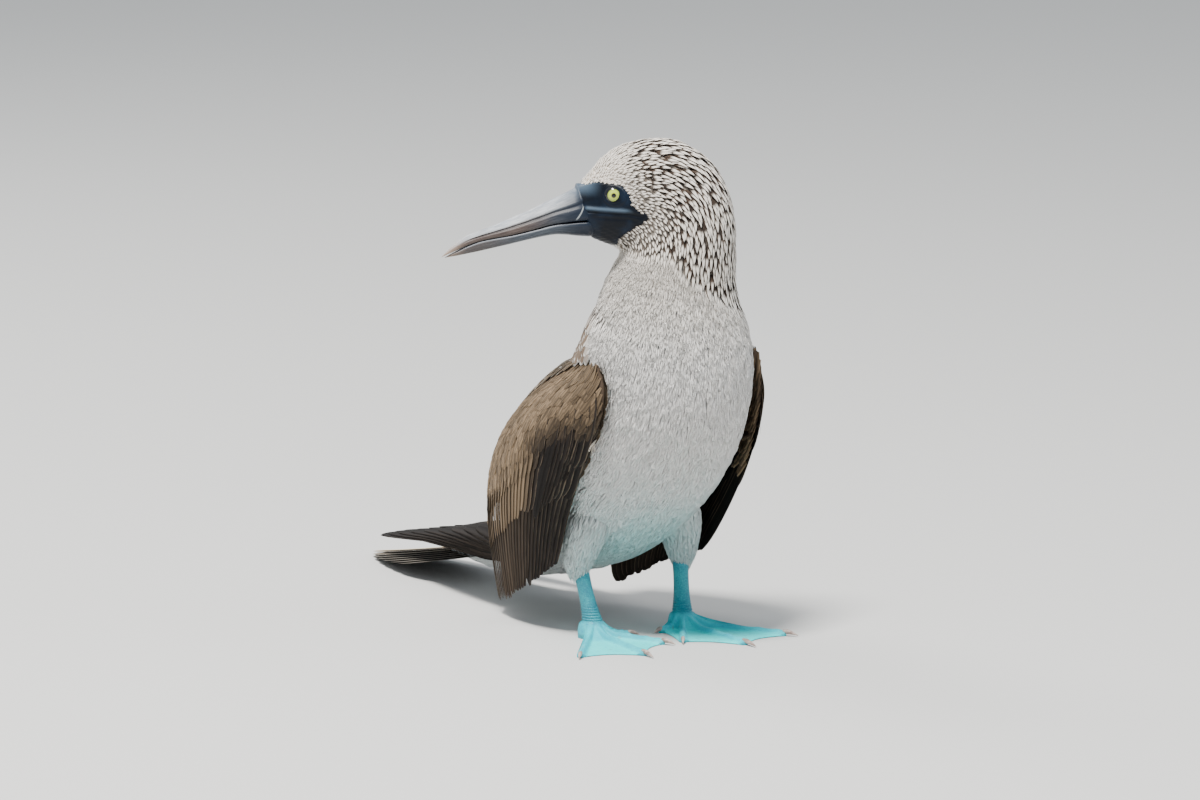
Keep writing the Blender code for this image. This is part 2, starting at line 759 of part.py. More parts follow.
def make_tail(source, parts, tools):
    """Root of the tail with its coverts, and the tail feathers fanned out under each other."""
    front = ((0.0, TAIL_CUT_Y + GAP / 2.0, 0.0), (0.0, -1.0, 0.0))
    tail = sliced("tail", source, (front,), parts)
    vanes = []
    for rank in range(len(TAIL_LENGTHS)):
        vanes += [tail_feather(rank, side, tools) for side in (-1.0, 1.0)]
    return fused(tail, vanes)


def tube(name, stations, collection, count=12):
    """A closed body through level oval sections, each with its centre and two half widths."""
    vertices = []
    for centre, half_x, half_y in stations:
        for step in range(count):
            turn = 2.0 * math.pi * step / count
            vertices.append((
                centre[0] + half_x * math.cos(turn),
                centre[1] + half_y * math.sin(turn),
                centre[2],
            ))
    return mesh_object(name, vertices, loft_faces(len(stations), count), collection)


def between(low, high, share):
    return tuple(one + (other - one) * share for one, other in zip(low, high))


def make_thigh(side, label, cutter, parts):
    stations = []
    for high, low, share, half_x, half_y in THIGH_SECTIONS:
        x, y, z = between(high, low, share)
        stations.append(((x * side, y, z), half_x, half_y))
    thigh = tube("thigh_" + label, stations, parts, 16)
    return cut(thigh, (cutter,))


def make_tarsus(side, label, parts):
    stations = []
    for share, half_x, half_y in TARSUS_SECTIONS:
        x, y, z = between(TARSUS_TOP, ANKLE, share)
        stations.append(((x * side, y, z), half_x, half_y))
    return tube("tarsus_" + label, stations, parts)


def toe_direction(side, angle):
    return np.array([side * math.sin(angle), -math.cos(angle)])


def foot_spokes(side):
    """Lines from the ankle outwards: toes with their edges, webs between them, and the heel."""
    spokes = []
    for index, (angle, length, _) in enumerate(TOES):
        ahead = toe_direction(side, angle)
        beside = toe_direction(side, angle + math.pi / 2.0)
        for offset in (-1.0, 0.0, 1.0):
            start = toe_direction(side, angle + 0.22 * offset) * HUB_RADIUS
            end = ahead * (length - abs(offset)) + beside * offset * TOE_HALF_WIDTH
            spokes.append((start, end, "toe" if offset == 0.0 else "edge"))
        if index + 1 < len(TOES):
            next_angle, next_length, _ = TOES[index + 1]
            for share in (0.3, 0.7):
                turn = angle + (next_angle - angle) * share
                reach = length + (next_length - length) * share
                reach *= 0.96 - WEB_SCALLOP * math.sin(math.pi * share)
                ahead = toe_direction(side, turn)
                spokes.append((ahead * HUB_RADIUS, ahead * reach, "web"))
    first, last = TOES[0][0] + 2.0 * math.pi - 0.25, TOES[-1][0] + 0.25
    for index in range(1, HEEL_SPOKES + 1):
        turn = last + (first - last) * index / (HEEL_SPOKES + 1)
        start = toe_direction(side, turn) * HUB_RADIUS
        spokes.append((start, start * 1.28, "heel"))
    return spokes


def foot_height(kind, share):
    """Height of the foot's top at a share of the way out along a spoke."""
    slope = max(0.0, 1.0 - share * 4.5) ** 1.5
    if kind == "heel":
        return HUB_HEIGHT * (1.0 - 0.55 * share**2)
    if kind == "toe":
        knuckle = 0.5 * abs(math.cos(3.0 * math.pi * share))
        height = TOE_HEIGHT - 1.9 * share + knuckle
    elif kind == "edge":
        height = TOE_EDGE_HEIGHT - 0.4 * share * (1.0 - slope)
    else:
        height = WEB_TOP
    return height + (HUB_HEIGHT - height) * slope


def make_foot(side, label, parts):
    """Four toes joined by webs, level underneath along each toe."""
    hub = np.array([ANKLE[0] * side, ANKLE[1]])
    spokes = foot_spokes(side)
    top, low = [], []
    for share in FOOT_RINGS:
        for start, end, kind in spokes:
            x, y = hub + start + (end - start) * share
            top.append((x, y, foot_height(kind, share)))
            low.append((x, y, WEB_UNDER if kind == "web" and share > FOOT_RINGS[1] else 0.0))
    count, rings = len(spokes), len(FOOT_RINGS)
    vertices = top + low + [(hub[0], hub[1], HUB_HEIGHT), (hub[0], hub[1], 0.0)]
    below = len(top)
    faces = []
    for step in range(count):
        beside = (step + 1) % count
        faces.append((2 * below, step, beside))
        faces.append((2 * below + 1, below + beside, below + step))
        for ring in range(rings - 1):
            here, there = ring * count + step, ring * count + beside
            out_here, out_there = here + count, there + count
            faces += [(here, out_here, there), (there, out_here, out_there)]
            faces += [(below + here, below + there, below + out_here)]
            faces += [(below + there, below + out_there, below + out_here)]
        edge, next_edge = (rings - 1) * count + step, (rings - 1) * count + beside
        faces += [(edge, below + edge, next_edge), (next_edge, below + edge, below + next_edge)]
    return mesh_object("foot_" + label, vertices, faces, parts)


def make_claw(side, label, toe, parts):
    """A curved horny nail that carries on from the end of its toe."""
    angle, length, claw = TOES[toe]
    ahead = toe_direction(side, angle)
    beside = toe_direction(side, angle + math.pi / 2.0)
    hub = np.array([ANKLE[0] * side, ANKLE[1]])
    vertices = []
    count, rings = 8, 5
    for ring in range(rings):
        s = ring / float(rings)
        centre = hub + ahead * (length + GAP + claw * s)
        rise = CLAW_HEIGHT - 1.9 * s**1.6
        half_height = CLAW_HALF_HEIGHT * (1.0 - s**1.5) + 0.12
        half_width = CLAW_HALF_WIDTH * (1.0 - s**1.3) + 0.12
        for step in range(count):
            turn = 2.0 * math.pi * step / count
            spot = centre + beside * half_width * math.cos(turn)
            vertices.append((spot[0], spot[1], rise + half_height * math.sin(turn)))
    faces = loft_faces(rings, count)[:-1]
    tip = hub + ahead * (length + GAP + claw)
    vertices.append((tip[0], tip[1], CLAW_TIP_HEIGHT))
    end = (rings - 1) * count
    for step in range(count):
        faces.append((end + step, end + (step + 1) % count, len(vertices) - 1))
    name = "claw_" + TOE_NAMES[toe] + "_" + label
    return mesh_object(name, vertices, faces, parts)


def paint(parts):
    """Gives each sub-part a material of its own."""
    finishes = (
        ("bill", (0.30, 0.36, 0.42), 0.4),
        ("head", (0.78, 0.74, 0.66), 0.85),
        ("neck", (0.82, 0.80, 0.74), 0.85),
        ("torso", (0.88, 0.87, 0.84), 0.85),
        ("wing", (0.16, 0.11, 0.07), 0.75),
        ("tail", (0.14, 0.10, 0.07), 0.75),
        ("thigh", (0.88, 0.87, 0.84), 0.85),
        ("tarsus", (0.10, 0.62, 0.78), 0.5),
        ("foot", (0.12, 0.68, 0.80), 0.5),
        ("claw", (0.70, 0.62, 0.56), 0.4),
        ("eye", (0.62, 0.66, 0.25), 0.08),
    )
    for thing in parts.objects:
        for start, colour, roughness in finishes:
            if thing.name.startswith(start):
                thing.data.materials.clear()
                thing.data.materials.append(new_material(thing.name, colour, roughness))


def main():
    for old in list(bpy.data.objects):
        bpy.data.objects.remove(old, do_unlink=True)
    parts = bpy.data.collections.new("blue_footed_booby")
    tools = bpy.data.collections.new("cutters")
    bpy.context.scene.collection.children.link(parts)
    bpy.context.scene.collection.children.link(tools)

    body = flesh(tools)
    cutter = swollen("body_cutter", body, GAP + 0.02, tools)
    back, breast = np.array(NECK_BASE_BACK), np.array(NECK_BASE_BREAST)
    across = (back - breast) / np.linalg.norm(back - breast)
    neck_axis = np.array([0.0, -across[1], across[0]])
    neck_base = np.array([0.0, *((back + breast) / 2.0)])
    neck_low = neck_base + neck_axis * GAP / 2.0
    neck_high = head_point(0.0, HEAD_NECK_Z - GAP / 2.0)
    sliced("neck", body, ((neck_low, -neck_axis), (neck_high, (0.0, 0.0, 1.0))), parts)
    torso_top = neck_base - neck_axis * GAP / 2.0
    tail_face = (0.0, TAIL_CUT_Y - GAP / 2.0, 0.0)
    sliced("torso", body, ((torso_top, neck_axis), (tail_face, (0.0, 1.0, 0.0))), parts)
    make_head(body, parts, tools)
    bill_half("bill_upper", True, parts)
    bill_half("bill_lower", False, parts)
    make_tail(body, parts, tools)
    for side, label in ((-1.0, "right"), (1.0, "left")):
        make_wing(side, label, cutter, parts, tools)
        make_thigh(side, label, cutter, parts)
        make_tarsus(side, label, parts)
        make_foot(side, label, parts)
        for toe in range(len(TOES)):
            make_claw(side, label, toe, parts)
    bpy.data.objects.remove(body, do_unlink=True)
    bpy.data.objects.remove(cutter, do_unlink=True)
    paint(parts)


main()
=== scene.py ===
import math

import bmesh
import bpy
import numpy as np
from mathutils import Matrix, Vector, kdtree


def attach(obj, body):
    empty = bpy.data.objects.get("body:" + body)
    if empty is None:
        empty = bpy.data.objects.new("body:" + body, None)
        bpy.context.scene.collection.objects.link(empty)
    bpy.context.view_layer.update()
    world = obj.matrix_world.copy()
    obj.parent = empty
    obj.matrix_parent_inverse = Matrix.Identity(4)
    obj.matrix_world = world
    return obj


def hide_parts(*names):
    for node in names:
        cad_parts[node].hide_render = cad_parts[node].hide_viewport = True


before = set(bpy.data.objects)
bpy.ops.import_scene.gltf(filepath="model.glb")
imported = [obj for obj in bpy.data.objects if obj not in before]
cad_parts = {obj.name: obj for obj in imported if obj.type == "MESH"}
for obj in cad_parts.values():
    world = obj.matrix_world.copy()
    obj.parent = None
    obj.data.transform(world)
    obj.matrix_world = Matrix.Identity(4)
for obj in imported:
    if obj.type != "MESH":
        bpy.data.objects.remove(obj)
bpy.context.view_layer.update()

# Skin: one cast hide over head, neck, trunk, thighs and the arms of the wings. It lies below the
# plumage by the depth of the coat and shows only on the bare face and throat. Places are in
# millimetres, x to the bird's left, y to its rear and z up, and STANCE sets them in the frame.
MM = 0.001
STANCE = np.array([28.0, -141.0, 0.0])
SIDES = {"right": -1.0, "left": 1.0}
RING = 16
SWELL = 1.0 / (2.0 / 3.0 + math.cos(2.0 * math.pi / RING) / 3.0)
HEAD_TURN_STEPS = 5
HEAD_TURN = -math.pi / 2.0 - HEAD_TURN_STEPS * 2.0 * math.pi / RING
HEAD_CENTRE = np.array([0.7, -33.0])
AHEAD = np.array([math.cos(HEAD_TURN), math.sin(HEAD_TURN)])
ASIDE = np.array([AHEAD[1], -AHEAD[0]])
# Sections as (forward or y, z) of the upper and the lower edge, half width, fullness
BILL_SOCKET = (86.0, 292.0, 84.0, 279.0, 5.0, 0.0)
HEAD_SECTIONS = (
    (72.0, 299.0, 70.0, 276.0, 9.0, 0.0),
    (58.0, 309.0, 54.0, 271.5, 14.5, -0.05),
    (49.0, 323.5, 48.5, 269.0, 18.5, -0.10),
    (36.0, 331.8, 43.0, 267.0, 22.5, -0.12),
    (18.0, 336.3, 38.5, 265.0, 26.0, -0.10),
    (-2.0, 335.5, 35.5, 263.0, 28.5, -0.06),
    (-20.0, 326.0, 34.5, 260.0, 31.5, -0.02),
    (-33.5, 310.0, 35.5, 256.5, 35.0, 0.0),
    (-40.5, 289.0, 38.0, 252.5, 38.0, 0.0),
    (-42.0, 264.0, 42.0, 246.0, 40.5, 0.0),
)
BODY_SECTIONS = (
    (14.0, 238.0, -72.0, 238.0, 43.0, 0.0),
    (17.0, 225.0, -77.0, 218.0, 49.0, 0.0),
    (24.0, 212.0, -83.0, 195.0, 56.5, 0.0),
    (35.0, 197.0, -85.0, 168.0, 58.0, 0.02),
    (53.0, 180.0, -77.0, 140.0, 61.0, 0.03),
    (74.0, 164.0, -60.0, 113.0, 62.5, 0.03),
    (94.0, 148.0, -38.0, 90.0, 62.0, 0.03),
    (110.0, 128.0, -12.0, 70.0, 59.0, 0.03),
    (124.0, 107.0, 18.0, 52.0, 54.5, 0.02),
    (137.0, 88.0, 50.0, 39.0, 46.0, 0.0),
    (149.0, 72.0, 84.0, 30.0, 36.5, 0.0),
    (160.0, 59.0, 116.0, 23.0, 28.5, 0.0),
    (171.0, 50.0, 144.0, 18.0, 24.0, 0.0),
    (191.0, 40.5, 175.0, 15.0, 21.0, 0.0),
    (212.0, 34.0, 205.0, 16.5, 19.0, 0.0),
    (232.0, 28.5, 230.0, 19.0, 16.5, 0.0),
    (252.0, 23.5, 251.0, 18.0, 12.0, 0.0),
)
# Sections as x, y and z of the middle, then half width across and front to back
THIGH_SECTIONS = (
    (24.0, 13.0, 110.0, 12.0, 16.0),
    (29.0, 15.0, 92.0, 15.0, 20.0),
    (32.8, 16.5, 79.0, 15.5, 20.5),
    (36.5, 18.0, 66.0, 13.5, 17.5),
    (38.2, 19.5, 56.0, 11.2, 13.3),
    (39.5, 20.5, 49.0, 9.6, 10.5),
    (40.0, 21.0, 44.5, 7.6, 8.2),
    (40.0, 21.0, 40.0, 5.0, 5.6),
)
BODY_COAT, HEAD_COAT, THIGH_COAT = 3.0, 1.5, 1.6
# Edge of the bare face as (forward, z), whose corners are cut twice to make it a curve
BARE_FACE = np.array([
    (64.0, 305.5), (58.0, 306.5), (52.0, 308.6), (46.0, 308.0), (40.0, 308.0), (35.0, 305.0),
    (32.0, 299.5), (32.0, 294.0), (24.0, 289.5), (19.0, 288.0), (39.5, 273.0), (38.0, 266.0),
    (60.0, 266.0), (80.0, 266.0), (80.0, 304.5),
])
for _ in range(2):
    following = np.roll(BARE_FACE, -1, axis=0)
    cuts = [BARE_FACE * 0.78 + following * 0.22, BARE_FACE * 0.22 + following * 0.78]
    BARE_FACE = np.stack(cuts, 1).reshape(-1, 2)
EYE = (41.0, 301.4)
BILL_SLOPE = math.tan(math.radians(16.6))
MOUTH_Z = 290.0


def unit(vectors):
    return vectors / np.maximum(np.linalg.norm(vectors, axis=-1, keepdims=True), 1e-9)


def smooth(low, high, values):
    """0 below low, 1 above high and a soft step between."""
    share = np.clip((values - low) / (high - low), 0.0, 1.0)
    return share * share * (3.0 - 2.0 * share)


def blended(one, other, share):
    return one + (other - one) * share


def bump(distance, half_width):
    return np.exp(-((distance / half_width) ** 2))


def head_place(f, z, right=0.0):
    """Points of the head from forward, height and how far to the bird's right."""
    f, z, right = np.broadcast_arrays(*(np.asarray(v, float) for v in (f, z, right)))
    plan = HEAD_CENTRE + f[..., None] * AHEAD + right[..., None] * ASIDE
    return np.concatenate([plan, z[..., None]], -1)


def in_head(points):
    """Forward distance and height of points, seen by the head."""
    return (points[..., :2] - HEAD_CENTRE) @ AHEAD, points[..., 2]


def body_place(y, z, right):
    return np.stack([-right, y, z], -1)


def ring_of(place, section):
    top, bottom = np.array(section[0:2]), np.array(section[2:4])
    turn = 2.0 * math.pi * np.arange(RING) / RING
    across = np.sin(turn)
    lean = section[5] * across**2 - SWELL * np.cos(turn)
    along = (top + bottom) / 2.0 + lean[:, None] * (top - bottom) / 2.0
    return place(along[:, 0], along[:, 1], SWELL * section[4] * across)


def flesh_rings():
    head = [ring_of(head_place, section) for section in (BILL_SOCKET,) + HEAD_SECTIONS]
    head = [np.roll(ring, HEAD_TURN_STEPS, axis=0) for ring in head]
    return head + [ring_of(body_place, section) for section in BODY_SECTIONS]


def thigh_rings(side):
    turn = -2.0 * math.pi * np.arange(RING) / RING
    return [
        np.stack([
            side * x + SWELL * half_x * np.cos(turn), y + SWELL * half_y * np.sin(turn), np.full(RING, z)
        ], -1)
        for x, y, z, half_x, half_y in THIGH_SECTIONS
    ]


class Surface:
    """A smooth surface over two coordinates, u round or across it and v along it."""

    def __init__(self, place, facing=1.0):
        self.place = place
        self.facing = facing

    def frames(self, u, v):
        """Points, outward normals and the slopes along u and v."""
        step = 1e-3
        slope_u = (self.place(u + step, v) - self.place(u - step, v)) / (2.0 * step)
        slope_v = (self.place(u, v + step) - self.place(u, v - step)) / (2.0 * step)
        normal = unit(np.cross(slope_u, slope_v)) * self.facing
        return self.place(u, v), normal, slope_u, slope_v


def cubic(t):
    """Weights of four neighbours on a smooth uniform curve."""
    return np.stack([
        (1.0 - t) ** 3, 3.0 * t**3 - 6.0 * t**2 + 4.0, -3.0 * t**3 + 3.0 * t**2 + 3.0 * t + 1.0, t**3,
    ], -1) / 6.0


def lofted(rings):
    """The smooth surface through a stack of rings, v counted from the second ring."""
    cage = np.array(rings)
    limit = len(cage) - 3.0 - 1e-6

    def at(u, v):
        u, v = np.broadcast_arrays(np.mod(u, RING), v)
        column, row = np.floor(u).astype(int), np.floor(v).astype(int)
        rows = row[..., None] + np.arange(4)
        columns = (column[..., None] + np.arange(-1, 3)) % RING
        grid = cage[rows[..., :, None], columns[..., None, :]]
        return np.einsum("...r,...c,...rck->...k", cubic(v - row), cubic(u - column), grid)

    def place(u, v):
        """Points of the surface, which runs on straight past its end."""
        spot = at(u, np.clip(v, 0.0, limit))
        if np.max(v) > limit:
            straight = (at(u, limit) - at(u, limit - 0.05)) / 0.05
            spot = spot + straight * np.maximum(v - limit, 0.0)[..., None]
        return spot

    return Surface(place)


flesh = lofted(flesh_rings())
thighs = {label: lofted(thigh_rings(side)) for label, side in SIDES.items()}


def bare_by(points):
    """How far points lie inside the edge of the bare face, less than 0 outside it."""
    seen = np.stack(in_head(points), -1)
    nearest = np.full(seen.shape[:-1], 1e9)
    inside = np.zeros(seen.shape[:-1], bool)
    for a, b in zip(BARE_FACE, np.roll(BARE_FACE, -1, axis=0)):
        edge = b - a
        share = np.clip((seen - a) @ edge / (edge @ edge), 0.0, 1.0)
        nearest = np.minimum(nearest, np.linalg.norm(seen - a - share[..., None] * edge, axis=-1))
        spans = (a[1] > seen[..., 1]) != (b[1] > seen[..., 1])
        rise = edge[1] if edge[1] != 0.0 else 1e-9
        inside ^= spans & (seen[..., 0] < a[0] + (seen[..., 1] - a[1]) / rise * edge[0])
    return np.where(inside, nearest, -nearest)


def coat_depth(points):
    """Depth of the plumage over the skin."""
    depth = blended(BODY_COAT, HEAD_COAT, smooth(225.0, 265.0, points[..., 2]))
    return depth * smooth(0.4, -2.6, bare_by(points))


def lip_by(points):
    """1 on the lip, a ridge that runs back from the bill over the mouth line, whose lit top gets a painted
    highlight.
    """
    f, z = in_head(points)
    middle = np.interp(f, (22.0, 32.0, 60.0), (288.6, 291.2, 292.2))
    return bump(z - middle, 1.15) * smooth(28.0, 36.0, f) * smooth(61.0, 57.5, f)


def sheen_by(points):
    """1 where a painted highlight of the sky lies on the bare skin, under the forehead and on the lip's
    top, 0 on the dark of the face.
    """
    f, z = in_head(points)
    brow = smooth(298.0, 307.0, z) * smooth(47.0, 60.0, f)
    return np.maximum(brow * 0.8, lip_by(points))


def face_relief(points):
    """Folds of the bare face, from the lip over the mouth line down to the throat's wrinkles."""
    f, z = in_head(points)
    below = z - np.interp(f, (20.0, 32.0, 62.0), (286.6, 289.3, 289.6))
    around_eye = np.hypot(f - EYE[0], z - EYE[1])
    throat = smooth(285.0, 279.0, z)
    crease = 0.9 * bump(below, 0.9) * smooth(19.0, 26.0, f)
    jaw_fold = 0.5 * bump(below + 3.6, 0.8) * smooth(24.0, 30.0, f) * smooth(56.0, 48.0, f)
    lores = 0.45 * bump(np.hypot((f - 52.0) / 1.6, z - 298.5), 4.5)
    lid = 0.55 * bump(around_eye - 6.4, 1.1) - 0.3 * bump(around_eye - 8.4, 0.7)
    wrinkles = 0.10 * np.sin((z + 0.35 * f) * 2.6 + 0.8 * np.sin(f * 0.35))
    wrinkles = wrinkles + 0.07 * np.sin((z * 0.5 - f * 0.25) * 3.3 + 1.3 * np.sin(z * 0.2))
    relief = 0.75 * lip_by(points) - crease - jaw_fold - lores + lid + wrinkles * throat
    under_bill = smooth(58.6, 62.0, f - BILL_SLOPE * (z - MOUTH_Z))
    return relief * smooth(-1.0, 1.5, bare_by(points)) - 2.0 * under_bill


# Lines down the folded wing from the shoulder to the tips, the first one at its front
WING_LINES = {
    "right": (
        ((59, -26, 198), (59, -46, 157), (57, -8, 106), (54, 20, 48)),
        ((40, 25, 184), (72, 1, 151), (72, 24, 98), (56, 56, 30)),
        ((34, 74, 161), (69, 59, 125), (67, 72, 74), (52, 88, 17)),
        ((27, 109, 136), (47, 121, 97), (47, 126, 50), (45, 117, 9)),
    ),
    "left": (
        ((61, -38, 201), (60, -47, 160), (60, -23, 106), (52, 20, 48)),
        ((42, 24, 186), (72, 2, 152), (70, 24, 100), (54, 54, 39)),
        ((34, 74, 161), (69, 59, 125), (67, 72, 78), (52, 88, 27)),
        ((27, 109, 136), (47, 121, 97), (47, 126, 50), (45, 117, 12)),
    ),
}
PAD_END = 0.5


def lagrange(t):
    """Weights of four evenly spaced points for the curve through them."""
    knots = (0.0, 1.0 / 3.0, 2.0 / 3.0, 1.0)
    return np.stack([
        np.prod([(t - other) / (one - other) for other in knots if other != one], axis=0)
        for one in knots
    ], -1)


def wing_surface(label):
    """The folded wing's surface, a from its front to its rear and b from shoulder to tips."""
    lines = np.array(WING_LINES[label], float) * (SIDES[label], 1.0, 1.0)
    return Surface(
        lambda a, b: np.einsum("...i,...j,ijk->...k", lagrange(a), lagrange(b), lines), -SIDES[label]
    )


def over_wing(label, rise, facing):
    """A surface that stands over the folded wing's by a rise."""
    def place(a, b):
        spot, normal, _, _ = wings[label].frames(a, b)
        return spot + normal * rise(a, b)[..., None]

    return Surface(place, facing)


def arm_edge(a):
    return np.sin(math.pi * (0.03 + 0.94 * np.clip(a, 0.0, 1.0)))


def arm_rise(a, b):
    """How far the arm and its coverts stand over the wing's surface."""
    crown = np.sin(math.pi * np.clip(b / (1.12 * PAD_END), 0.0, 1.0))
    return 0.8 + 4.7 * np.maximum(arm_edge(a), 0.0) ** 0.6 * crown


def arm_depth(a, b):
    """How far the arm's flesh reaches in from the wing's surface."""
    return 1.0 + 5.0 * arm_edge(a) * np.sin(math.pi * np.clip(0.05 + 0.85 * b / PAD_END, 0.0, 1.0))


wings = {label: wing_surface(label) for label in SIDES}
arms = {label: over_wing(label, arm_rise, -SIDES[label]) for label in SIDES}

# Ground colours of the plumage, shared by the skin under it and the feathers
WHITE = np.array([0.84, 0.82, 0.79])
CREAM = np.array([0.78, 0.70, 0.60])
# A cool white for painted shade low on the body, and an aqua white for the bright feet's painted reflection
# on the belly
COOL_SHADE_WHITE = np.array([0.62, 0.74, 0.76])
FEET_REFLECTION_AQUA = np.array([0.36, 0.74, 0.73])
BROWN = np.array([0.105, 0.070, 0.045])
PALE_BROWN = np.array([0.135, 0.095, 0.066])


def streaking(points):
    """How strongly feathers are streaked with brown: over crown and cheeks, and down the nape."""
    f, z = in_head(points)
    angle = np.degrees(np.arctan2(points[..., 0], -(points[..., 1] + 31.0)))
    turned = smooth(215.0, 262.0, z)
    away = np.abs((angle + 112.5 * turned + 180.0) % 360.0 - 180.0)
    front = 60.0 + 30.0 * turned + 22.0 * (points[..., 0] < 0.0) * (1.0 - turned)
    nape = smooth(-7.0, 5.0, away - front) * smooth(212.0, 228.0, z)
    crown = blended(0.03, 1.0, smooth(42.0, 24.0, f - 0.35 * np.maximum(0.0, 300.0 - z)))
    return blended(nape, crown, smooth(262.0, 266.5, z - 0.06 * np.maximum(0.0, -f)))


def clump(points, shift):
    """Soft swell of the coat, from -1 to 1, as feathers lie together in loose tufts."""
    x, y, z = np.moveaxis(points + shift, -1, 0)
    level = np.sin(0.42 * x + 1.4 * np.sin(0.21 * z))
    return level * np.sin(0.36 * z + 1.2 * np.sin(0.31 * y + 0.2 * x))


def mantle(points):
    """1 on the brown mantle, 0 on breast, flanks and belly."""
    x, y, z = np.moveaxis(points, -1, 0)
    edge = np.interp(z, (120.0, 198.0, 228.0), (20.0, -32.0, -31.0))
    edge = edge - np.interp(z, (198.0, 228.0), (6.0, 20.0)) * np.clip(x / 35.0, -1.0, 1.0)
    front = smooth(-3.0, 4.0, y - edge) * smooth(231.0, 222.0, z + 4.0 * clump(points, 9.0))
    return front * smooth(-10.0, 2.0, z - np.interp(y, (100.0, 170.0), (96.0, 34.0)))


def ground(points):
    """Ground colour of the plumage: cream head, white breast, painted cool shade low down and the bright
    feet's painted aqua reflection on the belly.
    """
    x, y, z = (points[..., axis:axis + 1] for axis in range(3))
    # Where the bright feet's painted aqua reflection lies on the lower belly
    belly = smooth(112.0, 66.0, z) * smooth(70.0, 30.0, y) * (1.0 - 0.75 * smooth(18.0, 30.0, np.abs(x)))
    colour = blended(WHITE, CREAM, 0.75 * smooth(190.0, 262.0, z))
    colour = blended(colour, COOL_SHADE_WHITE, 0.6 * smooth(150.0, 60.0, z))
    colour = blended(colour, FEET_REFLECTION_AQUA, 0.6 * belly)
    back = blended(PALE_BROWN, WHITE * 0.9, smooth(112.0, 140.0, y))
    return blended(colour, back, mantle(points)[..., None])


def opaque(colour):
    """Colours with the alpha that a mesh's colour attribute holds."""
    return np.concatenate([colour, np.ones(colour.shape[:-1] + (1,))], -1)


def made_mesh(name, points, faces, smooth_faces, values, bake=None):
    """A mesh from points in millimetres and arrays of faces with three or four corners."""
    mesh = bpy.data.meshes.new(name)
    mesh.vertices.add(len(points))
    mesh.vertices.foreach_set("co", ((points + STANCE) * MM).astype(np.float32).ravel())
    corners = np.concatenate([part.ravel() for part in faces]).astype(np.int32)
    sizes = np.concatenate([np.full(len(part), part.shape[1]) for part in faces])
    mesh.loops.add(len(corners))
    mesh.loops.foreach_set("vertex_index", corners)
    mesh.polygons.add(len(sizes))
    mesh.polygons.foreach_set("loop_start", (np.cumsum(sizes) - sizes).astype(np.int32))
    mesh.update(calc_edges=True)
    mesh.polygons.foreach_set("use_smooth", np.array(np.broadcast_to(smooth_faces, len(sizes)), bool))
    kinds = {1: ("FLOAT", "value"), 3: ("FLOAT_VECTOR", "vector"), 4: ("FLOAT_COLOR", "color")}
    for label, data in values.items():
        kind, field = kinds[1 if data.ndim == 1 else data.shape[1]]
        layer = mesh.attributes.new(label, kind, "POINT")
        layer.data.foreach_set(field, data.astype(np.float32).ravel())
    if bake is not None:
        layer = mesh.uv_layers.new(name="OFBake")
        layer.data.foreach_set("uv", bake.astype(np.float32)[corners].ravel())
    thing = bpy.data.objects.new(name, mesh)
    bpy.context.scene.collection.objects.link(thing)
    return thing


def closed_stack(name, rings, values=None):
    """A closed body through rings of points, with fans at both ends and its faces outwards."""
    rows, columns = np.shape(rings)[:2]

    def with_poles(data):
        """Data of every point, in which a pole has its ring's on average."""
        data = np.asarray(data, float).reshape((rows * columns,) + np.shape(data)[2:])
        ends = [part.mean(0, keepdims=True) for part in (data[:columns], data[-columns:])]
        return np.concatenate([data] + ends)

    row, column = np.meshgrid(np.arange(rows - 1), np.arange(columns), indexing="ij")
    here, beside = row * columns + column, row * columns + (column + 1) % columns
    quads = np.stack([here, beside, beside + columns, here + columns], -1).reshape(-1, 4)
    pole = np.full(columns, rows * columns)
    first = np.stack([pole, beside[0], here[0]], -1)
    last = np.stack([pole + 1, here[-1] + columns, beside[-1] + columns], -1)
    values = {label: with_poles(data) for label, data in (values or {}).items()}
    thing = made_mesh(name, with_poles(rings), [quads, np.concatenate([first, last])], True, values)
    body = bmesh.new()
    body.from_mesh(thing.data)
    bmesh.ops.recalc_face_normals(body, faces=body.faces)
    body.to_mesh(thing.data)
    body.free()
    return thing


def joined(name, things):
    """One object from several, with the attributes that they share."""
    with bpy.context.temp_override(
        active_object=things[0], object=things[0], selected_objects=things,
        selected_editable_objects=things,
    ):
        bpy.ops.object.join()
    things[0].name = things[0].data.name = name
    return things[0]


def fitted(piece, finish, slot, *nodes):
    """Gives a piece its finish, hangs it from the model's root and hides the parts that it replaces."""
    piece.data.materials.append(finish)
    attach(piece, "root")
    if nodes:
        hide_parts(*nodes)


def skin_part(name, surface, columns, rows, rise):
    """Part of the hide, its grid drawn in from a surface."""
    u, v = np.meshgrid(np.arange(columns) * RING / columns, rows)
    spot, normal, _, _ = surface.frames(u, v)
    points = spot + normal * rise(spot)[..., None]
    return closed_stack(name, points, {
        "bare": bare_by(spot), "ground": opaque(ground(points)), "streak": streaking(points),
        "sheen": sheen_by(points),
    })


NEVER_BARE = -20.0


def arm_part(label, rows=26, columns=30):
    """Flesh of the folded arm under its coverts."""
    rings = []
    for b in np.linspace(0.015, PAD_END, rows):
        a = np.linspace(max(0.015, 0.13 - 1.3 * b), 0.985, columns)
        spot, normal, _, _ = wings[label].frames(a, np.full(columns, b))
        over = np.maximum(arm_rise(a, b) - 1.6, -0.6)
        under = arm_depth(a, b)
        rings.append(np.concatenate([
            spot + normal * over[:, None], (spot - normal * under[:, None])[::-1]
        ]))
    zero = np.zeros((rows, 2 * columns))
    brown = np.broadcast_to(PALE_BROWN * 0.4, zero.shape + (3,))
    return closed_stack("skin_arm_" + label, rings, {
        "bare": zero + NEVER_BARE, "ground": opaque(brown), "streak": zero, "sheen": zero,
    })


COLOUR, VECTOR, VALUE = 0, 1, 2


